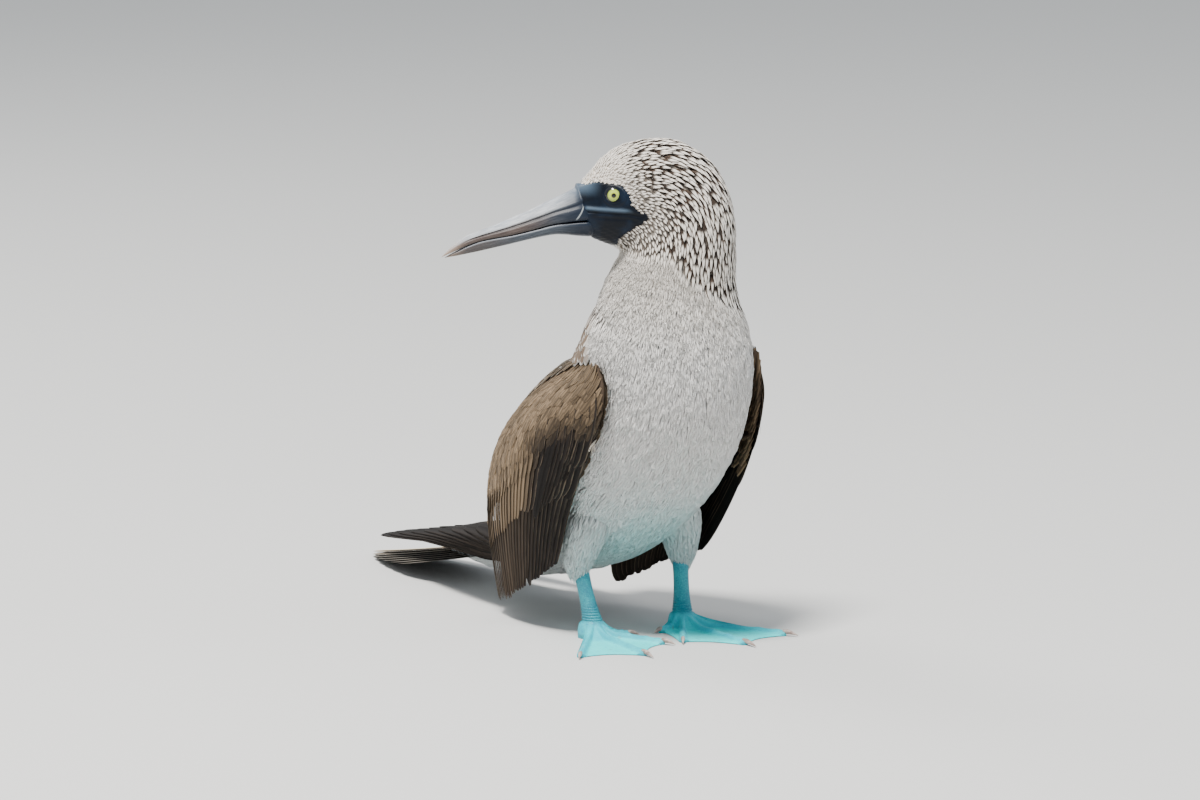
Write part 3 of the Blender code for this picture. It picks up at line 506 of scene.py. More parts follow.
class Signal:
    """A socket of a material's nodes, which sums can be written with."""

    def __init__(self, tree, socket=None):
        self.tree, self.socket = tree, socket

    def node(self, kind, settings=None, values=None, output=0):
        """Any node, from its settings and the values or links of its sockets."""
        made = self.tree.nodes.new(kind)
        for name, setting in (settings or {}).items():
            setattr(made, name, setting)
        for place, value in (values or {}).items():
            if isinstance(value, Signal):
                self.tree.links.new(value.socket, made.inputs[place])
            else:
                made.inputs[place].default_value = value
        return Signal(self.tree, made.outputs[output])

    def maths(self, operation, *values):
        return self.node("ShaderNodeMath", {"operation": operation}, dict(enumerate(values)))

    def __add__(self, other):
        return self.maths("ADD", self, other)

    def __sub__(self, other):
        return self.maths("SUBTRACT", self, other)

    def __rsub__(self, other):
        return self.maths("SUBTRACT", other, self)

    def __mul__(self, other):
        return self.maths("MULTIPLY", self, other)

    def __abs__(self):
        return self.maths("ABSOLUTE", self)

    __radd__, __rmul__ = __add__, __mul__

    def step(self, low, high):
        """Soft step from 0 at low to 1 at high."""
        settings = {"interpolation_type": "SMOOTHSTEP"}
        return self.node("ShaderNodeMapRange", settings, {0: self, 1: low, 2: high})

    def mix(self, one, other, share):
        """Colour between two colours."""
        one, other = (c if isinstance(c, Signal) else (*c, 1.0) for c in (one, other))
        return self.node("ShaderNodeMix", {"data_type": "RGBA"}, {0: share, 6: one, 7: other}, 2)

    def under(self, *coats):
        """This colour under coats of others, each with the share of it that covers."""
        colour = self
        for paint, share in coats:
            colour = self.mix(colour, paint, share)
        return colour

    def lit(self, share):
        """This colour times a share."""
        return self.node("ShaderNodeVectorMath", {"operation": "SCALE"}, {0: self, 3: share})

    def attribute(self, name, output=VALUE):
        return self.node("ShaderNodeAttribute", {"attribute_name": name}, {}, output)

    def parts(self, vector):
        split = self.node("ShaderNodeSeparateXYZ", {}, {0: vector})
        return [Signal(self.tree, socket) for socket in split.socket.node.outputs]

    def vector(self, *values):
        return self.node("ShaderNodeCombineXYZ", {}, dict(enumerate(values)))

    def place(self, scale=(1.0, 1.0, 1.0)):
        """The object's own coordinates, stretched."""
        spot = self.node("ShaderNodeTexCoord", {}, {}, 3)
        return self.node("ShaderNodeVectorMath", {"operation": "MULTIPLY"}, {0: spot, 1: scale})

    def noise(self, vector, scale, detail=2.0, roughness=0.5):
        values = {"Vector": vector, "Scale": scale, "Detail": detail, "Roughness": roughness}
        return self.node("ShaderNodeTexNoise", {}, values)

    def cells(self, vector, scale, feature="F1"):
        return self.node("ShaderNodeTexVoronoi", {"feature": feature}, {"Vector": vector, "Scale": scale})

    def relief(self, height, distance, strength):
        values = {"Strength": strength, "Distance": distance, "Height": height}
        return self.node("ShaderNodeBump", {}, values)


def finish_of(name, paint):
    """A Principled material whose sockets get the values that paint works out."""
    material = bpy.data.materials.new(name)
    material.use_nodes = True
    shader = material.node_tree.nodes["Principled BSDF"]
    for socket, value in paint(Signal(material.node_tree)).items():
        if isinstance(value, Signal):
            material.node_tree.links.new(value.socket, shader.inputs[socket])
        else:
            shader.inputs[socket].default_value = value
    return material


def paint_skin(start):
    bare = start.attribute("bare").step(-1.9, -1.2)
    spot = start.place()
    fine = start.noise(spot, 1500.0, 3.0, 0.6)
    pores = start.cells(spot, 900.0)
    blotch = start.noise(spot, 90.0, 1.0).step(0.35, 0.7)
    slate = start.mix((0.001, 0.0025, 0.006), (0.004, 0.010, 0.022), blotch)
    # A painted pale-blue highlight of the sky on the skin under the forehead and on the top of the lip
    slate = slate.under(((0.10, 0.15, 0.21), start.attribute("sheen") * 0.7))
    brown = start.attribute("streak") * 0.8
    plumage = start.attribute("ground", COLOUR).under((tuple(BROWN * 0.6), brown))
    return {
        "Base Color": plumage.under((slate, bare)),
        "Roughness": start.mix((0.9, 0.9, 0.9), (0.42, 0.42, 0.42), bare),
        "Specular IOR Level": 0.16,
        "Normal": start.relief(fine * 0.5 + pores * 0.5, 0.00018, 0.6),
    }


# Rows of the skin's grid, close over the head and wider down the trunk to the root of the tail
body_rows = np.concatenate([
    np.linspace(0.3, 5.0, 95), np.linspace(5.1, 10.0, 50), np.linspace(10.125, 25.0, 120)
])
thigh_rows = np.linspace(0.0, len(THIGH_SECTIONS) - 3.001, 40)
skin_parts = [skin_part("skin", flesh, 224, body_rows, lambda p: face_relief(p) - coat_depth(p))]
for label, surface in thighs.items():
    skin_parts.append(skin_part(
        "skin_thigh_" + label, surface, 64, thigh_rows, lambda p: np.full(p.shape[:-1], -THIGH_COAT)
    ))
    skin_parts.append(arm_part(label))
fitted(joined("skin", skin_parts), finish_of("skin", paint_skin), "head",
       "head", "neck", "torso", "thigh_right", "thigh_left")

# Plumage of the body: small closed feathers rooted in the skin, each lying along the body over the
# roots of the next. Streaked lancets cover head and nape, soft white wisps throat, breast and belly,
# and broad brown feathers with pale tips the back.
TUFT_PATCH = 0.003
ROUND = (0.0, 16.0)
CANDIDATES = 150000
SMALL_SHARES = (0.0, 0.3, 0.55, 0.75, 0.9, 1.0)
WISP_SHARES = (0.0, 0.4, 0.78, 1.0)
BROAD_SHARES = (0.0, 0.25, 0.5, 0.68, 0.82, 0.92, 0.98, 1.0)
FIVE_ACROSS = (-1.0, -0.5, 0.0, 0.5, 1.0)
DARK_STREAK = ((0.016, 0.010, 0.007), (0.050, 0.031, 0.020))
PALE_TIP = (0.80, 0.77, 0.72)


class Form:
    """The shape that a kind of feather repeats: rings along it, columns across it and a point."""

    def __init__(self, shares, outline, across, ridge):
        self.shares, self.outline = np.array(shares), np.array(outline)
        self.across, self.ridge = np.array(across), np.array(ridge)
        columns, end = len(across), len(across) - 1
        tip = (len(shares) - 1) * columns
        last = tip - columns
        quads, top = [], []
        for a in range(0, last, columns):
            b = a + columns
            quads += [(a + c, a + c + 1, b + c + 1, b + c) for c in range(end)]
            quads.append((a, b, b + end, a + end))
            top += [True] * end + [False]
        triangles = [(last + c, last + c + 1, tip) for c in range(end)] + [(last + end, last, tip)]
        triangles += [(0, c + 1, c) for c in range(1, end)]
        self.faces = (np.array(quads), np.array(triangles))
        self.tops = (np.array(top), np.arange(len(triangles)) < end)
        self.count = tip + 1


def lancet(shares, blunt):
    """Share of the half width along a feather, pointed for 0 and rounded for 1."""
    shares = np.array(shares[:-1])
    point = 1.0 - np.clip((shares - 0.45) / 0.56, 0.0, 1.0) ** 1.7
    round_end = np.sqrt(np.clip(1.0 - np.clip((shares - 0.72) / 0.285, 0.0, 1.0) ** 2, 0.0, 1.0))
    return np.minimum(1.0, 0.4 + 2.2 * shares) * blended(point, round_end, blunt)


head_form = Form(SMALL_SHARES, lancet(SMALL_SHARES, 0.1), FIVE_ACROSS, (0.0, 0.2, 0.3, 0.2, 0.0))
white_form = Form(WISP_SHARES, lancet(WISP_SHARES, 0.2), (-1.0, 0.0, 1.0), (0.0, 0.16, 0.0))
broad_form = Form(BROAD_SHARES, lancet(BROAD_SHARES, 1.0), FIVE_ACROSS, (0.0, 0.13, 0.18, 0.13, 0.0))


def dot(one, other):
    return (one * other).sum(-1)


def spines(surface, u, v, heading, length, shares, low, high, bend=0.5, swell=0.0):
    """Centres, sides and normals of feathers that follow a surface on from their roots."""
    centres, sides, normals = [], [], []
    for share, reach in zip(shares, np.append(np.diff(shares), 0.0)):
        spot, normal, slope_u, slope_v = surface.frames(u, v)
        down = unit(slope_v)
        along = down * np.cos(heading)[:, None] + np.cross(down, normal) * np.sin(heading)[:, None]
        rise = low + (high + swell * clump(spot, 0.0) - low) * share**bend
        centres.append(spot + normal * rise[:, None])
        sides.append(np.cross(along, normal))
        normals.append(normal)
        uu, uv, vv = dot(slope_u, slope_u), dot(slope_u, slope_v), dot(slope_v, slope_v)
        to_u, to_v = dot(along, slope_u) * (length * reach), dot(along, slope_v) * (length * reach)
        u = u + (vv * to_u - uv * to_v) / (uu * vv - uv * uv)
        v = v + (uu * to_v - uv * to_u) / (uu * vv - uv * uv)
    return tuple(np.stack(part, 1) for part in (centres, sides, normals))


class Plumage:
    """Feathers gathered into one piece."""

    def __init__(self):
        self.points, self.faces, self.tops, self.bakes = [], [[], []], [[], []], []
        self.values = {"vane": [], "ground": [], "marks": []}
        self.count = 0

    def add(self, form, spine, half_width, rng, colour, marks, roots, patch=TUFT_PATCH, fray=0.0):
        """Adds feathers; marks are streak, pale tip and pale edge, roots are places to bake at."""
        centres, sides, normals = spine
        number, rings, columns = len(centres), len(form.shares) - 1, len(form.across)
        width = (half_width[:, None] * form.outline)[..., None]
        body = centres[:, :rings, None] + sides[:, :rings, None] * (width * form.across)[..., None]
        body = body + normals[:, :rings, None] * (width * form.ridge)[..., None]
        if fray:
            shift = rng.uniform(-fray, fray, (number, columns))[..., None]
            body[:, -1] += (centres[:, -1] - centres[:, -2])[:, None] * shift
        across = np.append(np.tile(form.across, rings), 0.0)
        along = np.append(np.repeat(form.shares[:-1], columns), 1.0)
        chance = rng.uniform(0.0, 1.0, number)[:, None]
        for kind, (faces, tops) in enumerate(zip(form.faces, form.tops)):
            offset = self.count + np.arange(number)[:, None, None] * form.count
            self.faces[kind].append((faces + offset).reshape(-1, 4 - kind))
            self.tops[kind].append(np.tile(tops, number))
        self.points.append(np.concatenate([body.reshape(number, -1, 3), centres[:, -1:]], 1))
        self.values["vane"].append(np.stack(np.broadcast_arrays(across, along, chance), -1))
        for label, data in (("ground", colour), ("marks", marks)):
            self.values[label].append(np.repeat(opaque(data)[:, None], form.count, 1))
        self.bakes.append(roots[:, None] + np.stack([across * 0.5 + 0.5, along], -1) * patch)
        self.count += number * form.count

    def piece(self, name, finish, slot, *nodes):
        def whole(parts):
            return np.concatenate([part.reshape(-1, part.shape[-1]) for part in parts])

        tops = np.concatenate(self.tops[0] + self.tops[1])
        thing = made_mesh(
            name, whole(self.points), [np.concatenate(part) for part in self.faces], tops,
            {label: whole(parts) for label, parts in self.values.items()}, whole(self.bakes),
        )
        upper = thing.data.attributes.new("upper", "FLOAT", "FACE")
        upper.data.foreach_set("value", tops.astype(np.float32))
        fitted(thing, finish, slot, *nodes)


def scattered(surface, spans, seed, spacing_of, keep, tries, stretch=1.0, lean=0.0):
    """Roots spread evenly over a surface, each its own spacing from the others across the lie and
    that spacing times the stretch along it."""
    rng = np.random.default_rng(seed)
    u, v = (rng.uniform(*span, tries) for span in spans)
    parts = [u, v, *surface.frames(u, v)]
    kept = keep(parts[2], u, v)
    u, v, spot, normal, slope_u, slope_v = parts = [part[kept] for part in parts]
    spacing = spacing_of(spot, u, v)
    weight = np.linalg.norm(np.cross(slope_u, slope_v), axis=-1) / spacing**2
    chosen = rng.uniform(0.0, 1.0, len(u)) < weight / np.quantile(weight, 0.98)
    u, v, spot, normal, _, slope_v = (part[chosen] for part in parts)
    down, spacing = unit(slope_v), spacing[chosen]
    lie = [Vector(way) for way in down * math.cos(lean) + np.cross(down, normal) * math.sin(lean)]
    tree = kdtree.KDTree(len(spot))
    for index, point in enumerate(spot):
        tree.insert(point, index)
    tree.balance()
    free = [True] * len(spot)
    roots = []
    for index, point in enumerate(spot):
        if free[index]:
            roots.append(index)
            reach, here = spacing[index], Vector(point)
            for there, other, distance in tree.find_range(point, reach * stretch):
                along = (there - here).dot(lie[index])
                if distance**2 - along**2 * (1.0 - 1.0 / stretch**2) < reach**2:
                    free[other] = False
    return u[roots], v[roots], spot[roots]


def anywhere(points, u, v):
    return np.full(len(points), True)


def coat_sizes(points):
    """Spacing, length and half width of the feathers at points of the body, each for white and
    streaked ones by how far they are from the bare face, and for broad ones of the back."""
    away, streaked, back = -bare_by(points), streaking(points), mantle(points)
    from_face = (0.0, 8.0, 30.0, 60.0, 110.0)
    sizes = []
    for plain, marked, broad in (
        ((1.0, 1.1, 1.15, 1.2, 1.25), (1.05, 1.5, 2.2, 2.5, 2.5), 3.7),
        ((3.0, 4.5, 8.0, 11.0, 12.5), (3.2, 5.6, 12.0, 14.5, 14.0), 15.0),
        ((0.78, 0.82, 0.9, 1.0, 1.05), (0.8, 1.1, 1.6, 1.95, 2.05), 3.7),
    ):
        front = blended(np.interp(away, from_face, plain), np.interp(away, from_face, marked), streaked)
        sizes.append(blended(front, broad, back))
    return sizes


def bake_places(u, v, spans):
    """Where roots lie on the flattened surface, kept inside the bake's square."""
    flat = [(one - low) / (high - low) for one, (low, high) in zip((u, v), spans)]
    return 0.01 + 0.975 * np.stack(flat, -1)


# Points of the folded wings, to leave out the feathers that lie under them
COVER_STEPS = 40
WING_REACH = 10.0
cover = kdtree.KDTree(2 * COVER_STEPS**2)
for label in SIDES:
    grid = np.meshgrid(np.linspace(0.12, 0.88, COVER_STEPS), np.linspace(0.07, 0.85, COVER_STEPS))
    for point in wings[label].place(*grid).reshape(-1, 3):
        cover.insert(point, 0)
cover.balance()


def paint_plumage(start):
    across, along, chance = start.parts(start.attribute("vane", VECTOR))
    streak, tip, _ = start.parts(start.attribute("marks", COLOUR))
    beside = abs(across)
    narrow = beside + chance * 0.22 - 0.11
    lens = (1.0 - narrow.step(0.46, 0.80)) * along.step(0.32, 0.58)
    rim = start.maths("MAXIMUM", beside.step(0.55, 0.95), along.step(0.80, 0.95))
    colour = start.attribute("ground", COLOUR).under(
        (start.mix(*DARK_STREAK, chance), streak * (1.0 - lens)), (PALE_TIP, tip * rim),
    )
    barbs = start.maths("SINE", (beside * 0.5 + along * 2.0) * 60.0)
    shade = 1.0 + (chance - 0.5) * 0.08 + barbs * 0.02 - (1.0 - along.step(0.3, 0.7)) * 0.06
    return {
        "Base Color": colour.lit(shade), "Roughness": 0.8, "Specular IOR Level": 0.3,
        "Subsurface Weight": 0.4, "Subsurface Radius": (1.0, 1.0, 1.0), "Subsurface Scale": 0.0012,
        "Normal": start.relief(barbs, 0.00006, 0.5),
    }


plumage_finish = finish_of("plumage", paint_plumage)


def coat(name, slot, v_span, seed, form, keep, tip=0.0, fray=0.0, stretch=1.0, bend=0.25):
    """One piece of the body's plumage over part of the flesh."""
    u, v, spot = scattered(
        flesh, (ROUND, v_span), seed, lambda p, u, v: coat_sizes(p)[0],
        lambda p, u, v: keep(p, v) & (bare_by(p) < -0.25), CANDIDATES, stretch,
    )
    free = np.array([cover.find(point)[2] for point in spot]) > WING_REACH
    u, v, spot = u[free], v[free], spot[free]
    rng = np.random.default_rng(seed + 1)
    _, length, half_width = coat_sizes(spot)
    vary = rng.uniform(0.85, 1.15, len(u))
    streaked = streaking(spot)
    soft = rng.uniform(-0.07, 0.07, len(u))
    stand = blended(soft, rng.uniform(-0.2, 0.75, len(u)), streaked)
    heading = rng.normal(0.0, 0.07, len(u)) + 0.12 * clump(spot, 5.0)
    spine = spines(flesh, u, v, heading, length * vary, form.shares,
                   -np.maximum(coat_depth(spot), 0.35) - 0.25, stand, bend, 0.6 * (1.0 - streaked))
    colour = ground(spot) * rng.uniform(0.96, 1.03, (len(u), 1))
    fading = blended(0.62, 1.0, smooth(1.0, 20.0, -bare_by(spot)))
    marks = np.stack([streaked * fading, mantle(spot) * tip, np.zeros(len(u))], -1)
    plumage = Plumage()
    plumage.add(form, spine, half_width, rng, colour, marks, bake_places(u, v, (ROUND, v_span)),
                fray=fray)
    plumage.piece(name, plumage_finish, slot)


HEAD_END = 7.6


def dark_marked(points, v):
    """Streaked head and nape, and the forehead's small feathers."""
    f, z = in_head(points)
    return (mantle(points) < 0.5) & ((streaking(points) >= 0.3) | ((f > 18.0) & (z > 262.0)))


def dark_nape(points, v):
    return (v >= HEAD_END) & dark_marked(points, v)


def pale(points, v):
    return (mantle(points) < 0.5) & ~dark_marked(points, v)


def off_mantle(points, v):
    return mantle(points) < 0.5


# Each piece's slot, span of the surface along the body, seed, form, place and habit of growth
coat("coat_head", "head", (0.85, HEAD_END), 11, head_form, dark_marked, stretch=2.1, bend=0.6)
coat("coat_nape", "neck", (6.0, 11.5), 12, head_form, dark_nape, stretch=2.0, bend=0.5)
coat("coat_neck", "neck", (5.0, 10.6), 17, white_form, pale, fray=0.8)
coat("coat_breast", "torso", (10.6, 14.8), 13, white_form, pale, fray=0.8)
coat("coat_belly", "torso", (14.8, 18.2), 14, white_form, off_mantle, fray=0.8)
coat("coat_vent", "torso", (18.2, 24.9), 16, white_form, off_mantle, fray=0.8)
coat("coat_back", "torso", (9.5, 24.9), 15, broad_form, lambda p, v: mantle(p) >= 0.5, tip=0.8)

# Thigh feathers: soft white down-like feathers of both thighs in one piece. They are rooted in the
# thighs' skin and hang over the tops of the bare legs.
thigh_plumage = Plumage()
THIGH_SPANS = (ROUND, (0.4, 5.1))
for label, surface in thighs.items():
    u, v, spot = scattered(
        surface, THIGH_SPANS, 31, lambda p, u, v: np.interp(p[:, 2], (44.0, 70.0), (1.15, 1.5)),
        lambda p, u, v: p[:, 2] > 43.5, 60000,
    )
    rng = np.random.default_rng(32)
    low_down = smooth(70.0, 46.0, spot[:, 2])
    length = blended(12.0, 8.0, low_down) * rng.uniform(0.75, 1.25, len(u))
    spine = spines(surface, u, v, rng.normal(0.0, 0.14, len(u)), length, white_form.shares,
                   np.full(len(u), -THIGH_COAT - 0.3),
                   rng.uniform(0.0, 0.5, len(u)) + 0.6 * low_down)
    colour = ground(spot) * rng.uniform(0.95, 1.04, (len(u), 1))
    places = bake_places(u, v, THIGH_SPANS) * (0.5, 1.0) + (0.5 * (label == "left"), 0.0)
    thigh_plumage.add(white_form, spine, blended(1.05, 0.75, low_down), rng, colour,
                      np.zeros((len(u), 3)), places, fray=0.9)
thigh_plumage.piece("coat_thighs", plumage_finish, "thigh_left")

# Wings: folded and drooped off the sides, stiff vanes on cream or dark shafts, rooted in the arm.
# The arm carries small brown coverts and pale-edged scapulars, two rows of longer coverts lie over
# the secondaries, and the narrow black quills of the hand run back over the tail.
PRIMARIES = 10
HAND_COVERTS = 9
PRIMARY_STACK = 0.8
PRIMARY_LINE = (
    (68, -24, 142), (68, 0, 118), (65, 35, 88), (54, 80, 62), (40, 125, 50), (32, 180, 45),
    (22, 240, 37), (14, 300, 29), (10.5, 336, 24),
)
DARK_QUILL = np.array([0.011, 0.0085, 0.0075])
BROWN_QUILL = np.array([0.066, 0.047, 0.032])
TAUPE = np.array([0.245, 0.172, 0.105])
WORN_EDGE, WORN_TIP = (0.30, 0.225, 0.16), (0.72, 0.67, 0.58)
DARK_SHAFT, CREAM_SHAFT = (0.012, 0.009, 0.007), (0.75, 0.68, 0.52)
QUILL_SHARES = np.concatenate([np.linspace(0.0, 0.84, 15), (0.89, 0.93, 0.96, 0.985, 1.0)])
QUILL_ACROSS = (-1.0, -0.72, -0.4, -0.09, 0.0, 0.09, 0.4, 0.72, 1.0)
QUILL_RIDGE = (0.0, 0.035, 0.06, 0.065, 0.115, 0.065, 0.06, 0.035, 0.0)
# Strips of the bake's square for the long feathers of a wing: columns, rows and a strip's size
WING_ATLAS = (13, 12, np.array([0.068, 0.078]))


def quill_form(tip_start):
    """A stiff feather of even width that rounds off from tip_start to its point."""
    shares = QUILL_SHARES[:-1]
    past = np.clip(shares - tip_start, 0.0, 1.0) / (1.012 - tip_start)
    outline = np.minimum(1.0, 0.4 + 2.2 * shares) * np.sqrt(np.clip(1.0 - past**2, 0.0, 1.0))
    return Form(QUILL_SHARES, outline, QUILL_ACROSS, QUILL_RIDGE)


quill = quill_form(0.84)
blade = quill_form(0.6)


def atlas(index, columns, rows):
    """Corners of strips in the bake's square, one for each long feather."""
    return np.stack([index % columns / columns, index // columns / rows], -1) * 0.98 + 0.005


def paint_quills(start):
    across, along, chance = start.parts(start.attribute("vane", VECTOR))
    streak, tip, edge = start.parts(start.attribute("marks", COLOUR))
    beside = abs(across)
    barbs = start.maths("SINE", (beside - along * 9.0) * 60.0 + chance * 40.0)
    worn = start.noise(start.vector(across * 5.0, along * 5.0, chance * 30.0), 1.3, 4.0, 0.65)
    shaft = 1.0 - beside.step(0.03, 0.09)
    rim = tip * start.maths("MAXIMUM", beside.step(0.6, 0.98), along.step(0.9, 0.985))
    # The middle of each quill is painted darker, a painted shadow cast by the edge of the feather over it
    sunk = 1.0 - beside.step(0.25, 0.62)
    shade = (0.55 + worn * 0.9 + barbs * 0.05 + (chance - 0.5) * 0.35) * (1.0 - sunk * 0.4)
    # Undersides of the feathers are painted darker than their tops, as painted shade
    colour = start.attribute("ground", COLOUR).lit(shade).lit(start.attribute("upper") * 0.65 + 0.35)
    colour = colour.under(
        (WORN_EDGE, edge * beside.step(0.72, 0.95) * worn.step(0.35, 0.7) * 0.7), (WORN_TIP, rim),
        (DARK_SHAFT, shaft * 0.6 * (1.0 - streak)), (CREAM_SHAFT, shaft * streak),
    )
    return {"Base Color": colour, "Roughness": 0.75, "Specular IOR Level": 0.15,
            "Normal": start.relief(barbs * 0.3 + worn, 0.00015, 0.5)}


quill_finish = finish_of("quills", paint_quills)


def wing_colour(a, b):
    """Brown of the coverts: warm and pale above and behind, and nearly black over the hand, partly its own
    dark feathers and partly painted shade.
    """
    hand = smooth(0.50, 0.30, a) * smooth(0.20, 0.42, b)
    colour = blended(TAUPE, TAUPE * 0.55, 0.9 * smooth(0.45, 0.05, a)[..., None])
    colour = blended(colour, TAUPE * 0.6, smooth(0.42, 0.85, b)[..., None])
    return blended(colour, DARK_QUILL, hand[..., None])


def quill_brown(a, b):
    """Colour of the secondaries, darker at the front of the wing."""
    return blended(DARK_QUILL, BROWN_QUILL, smooth(0.2, 0.75, a)[:, None])


def wing_spines(label, roots, tips, rise, shares, roll, rng, stray=0.004):
    """Feathers laid straight across the wing's surface, their rear edges lower by the roll."""
    share = shares[None, :, None]
    ends = roots[:, None] * (1.0 - share) + tips[:, None] * share
    ends = ends + rng.normal(0.0, stray, (len(roots), 1, 2)) * share**1.5
    spot, normal, _, _ = wings[label].frames(ends[..., 0], ends[..., 1])
    spot = spot + normal * rise(ends[..., 0], ends[..., 1], share[..., 0])[..., None]
    along = unit(np.gradient(spot, axis=1))
    side = unit(np.cross(along, normal))
    normal = np.cross(side, along)
    low, high = math.sin(-roll * SIDES[label]), math.cos(-roll * SIDES[label])
    return spot, side * high - normal * low, normal * high + side * low


def over_arm(sunk, least):
    """Height of a row of coverts, which lies on the arm and then on the feathers beyond it."""
    return lambda a, b, share: np.maximum(arm_rise(a, np.minimum(b, 0.5)) - sunk, least)


# Rows of long feathers: how many, roots and tips as (a at the front, a at the rear, b), how far the
# tips stray, or fall short where less than 0, height, half width, pale edge, colour, the b that it
# is read at, and how far it varies
WING_ROWS = (
    (26, (0.06, 0.96, 0.36), (0.04, 0.97, 1.0), -0.008, lambda a, b, share: 0.2 + 0.6 * share,
     5.4, 0.5, quill_brown, 1.0, (0.85, 1.2)),
    (26, (0.07, 0.94, 0.30), (0.05, 0.95, 0.72), 0.006, over_arm(1.1, 1.4),
     4.9, 1.0, wing_colour, 0.6, (0.75, 1.25)),
    (24, (0.06, 0.92, 0.22), (0.05, 0.94, 0.565), 0.006, over_arm(0.6, 2.0),
     4.7, 0.9, wing_colour, 0.5, (0.75, 1.25)),
)


def wing_row(label, plumage, rng, start, row):
    """A row of long feathers from the front of the wing to its rear."""
    count, root, tip, stray, rise, half_width, pale_edge, tint, tint_b, varied = row
    share = np.linspace(0.0, 1.0, count)
    uneven = rng.normal(0.0, abs(stray), count)
    if stray < 0.0:
        uneven = -np.abs(uneven)
    roots = np.stack([blended(root[0], root[1], share), np.full(count, root[2])], -1)
    tips = np.stack([blended(tip[0], tip[1], share), tip[2] + uneven], -1)
    spine = wing_spines(label, roots, tips, rise, quill.shares, math.radians(10.0), rng)
    colour = tint(share, np.full(count, tint_b)) * rng.uniform(*varied, (count, 1))
    columns, rows, patch = WING_ATLAS
    plumage.add(quill, spine, np.full(count, half_width), rng, colour,
                np.tile((0.0, 0.0, pale_edge), (count, 1)),
                atlas(start + np.arange(count), columns, rows), patch)


def through(points, place):
    """Places on a smooth line through evenly spaced points, counted from the first point on."""
    points = np.asarray(points, float)
    begin = np.minimum(place.astype(int), len(points) - 2)
    u = (place - begin)[:, None]
    wide = np.vstack([2.0 * points[0] - points[1], points, 2.0 * points[-1] - points[-2]])
    p0, p1, p2, p3 = (wide[begin + step] for step in range(4))
    return 0.5 * (2.0 * p1 + (p2 - p0) * u + (2.0 * p0 - 5.0 * p1 + 4.0 * p2 - p3) * u**2
                  + (3.0 * p1 - p0 - 3.0 * p2 + p3) * u**3)


def hand_spine(label, rank):
    """Course of one quill of the hand; rank 0 is the longest and lies next to the body."""
    def course(t):
        return through(PRIMARY_LINE, np.clip(t, 0.0, 1.0) * (len(PRIMARY_LINE) - 1))

    t = blended(0.1, 1.0 - 0.049 * rank, blade.shares)
    along = unit(course(np.minimum(t + 0.01, 1.0)) - course(t - 0.01))
    turn = np.clip((t - 0.35) / 0.4, 0.0, 1.0)[:, None]
    outward = np.concatenate([1.0 - 0.75 * turn, 0.0 * turn, 0.15 + 0.85 * turn], -1)
    across = unit(np.cross(along, outward))
    across = np.where(across[:, 2:3] < 0.0, -across, across)
    facing = np.cross(across, along)
    facing = np.where((facing * outward).sum(-1, keepdims=True) < 0.0, -facing, facing)
    from_middle = rank - (PRIMARIES - 1) / 2.0
    flip = (SIDES[label], 1.0, 1.0)
    spot = (course(t) + facing * from_middle * PRIMARY_STACK + across * from_middle * 1.25) * flip
    facing = facing * flip
    return spot, np.cross(unit(np.gradient(spot, axis=0)), facing), facing


def lone_blade(plumage, rng, spine, half_width, colour, marks, index, columns, rows, patch):
    """One long pointed feather with a strip of the bake of its own."""
    plumage.add(blade, spine, np.array([half_width]), rng, colour[None], np.array([marks]),
                atlas(np.array([index]), columns, rows), patch)


def small_feathers(plumage, rng, form, spine, half_width, colour, pale_edge, places, fray=0.5):
    """Adds small feathers that have a pale edge but neither streak nor tip."""
    marks = np.tile((0.0, 0.0, pale_edge), (len(colour), 1))
    plumage.add(form, spine, half_width, rng, colour, marks, places, fray=fray)


def covert_coat(label, plumage, rng):
    """Small coverts in a close scatter over the arm, running back and then down."""
    spans = ((0.01, 0.985), (0.0, 0.46))
    a, b, _ = scattered(
        arms[label], spans, 51, lambda p, u, v: np.interp(v, (0.0, 0.45), (2.1, 3.2)),
        lambda p, u, v: u + 1.2 * v > 0.09, 40000, 1.5, -0.4 * SIDES[label],
    )
    slant = blended(0.75, 0.05, smooth(0.05, 0.45, b)) * -SIDES[label]
    grow = np.interp(b, (0.0, 0.45), (0.85, 1.6)) * rng.uniform(0.88, 1.12, len(a))
    spine = spines(
        arms[label], a, b, slant + rng.normal(0.0, 0.07, len(a)), 14.5 * grow,
        broad_form.shares, -1.5 - 1.2 * smooth(0.05, 0.0, b), rng.uniform(0.3, 0.8, len(a)),
    )
    colour = wing_colour(a, b) * rng.uniform(0.65, 1.35, (len(a), 1))
    small_feathers(plumage, rng, broad_form, spine, 1.9 * grow**0.8, colour, 0.55, bake_places(a, b, spans))


EDGE_SPANS = ((-0.05, 1.01), (-0.01, 0.5))
# Rows of scapulars: where their tips lie down the wing, their reach to its rear, and how many
SCAPULARS = ((0.085, 0.24, 13), (0.05, 0.20, 15), (0.015, 0.17, 17))


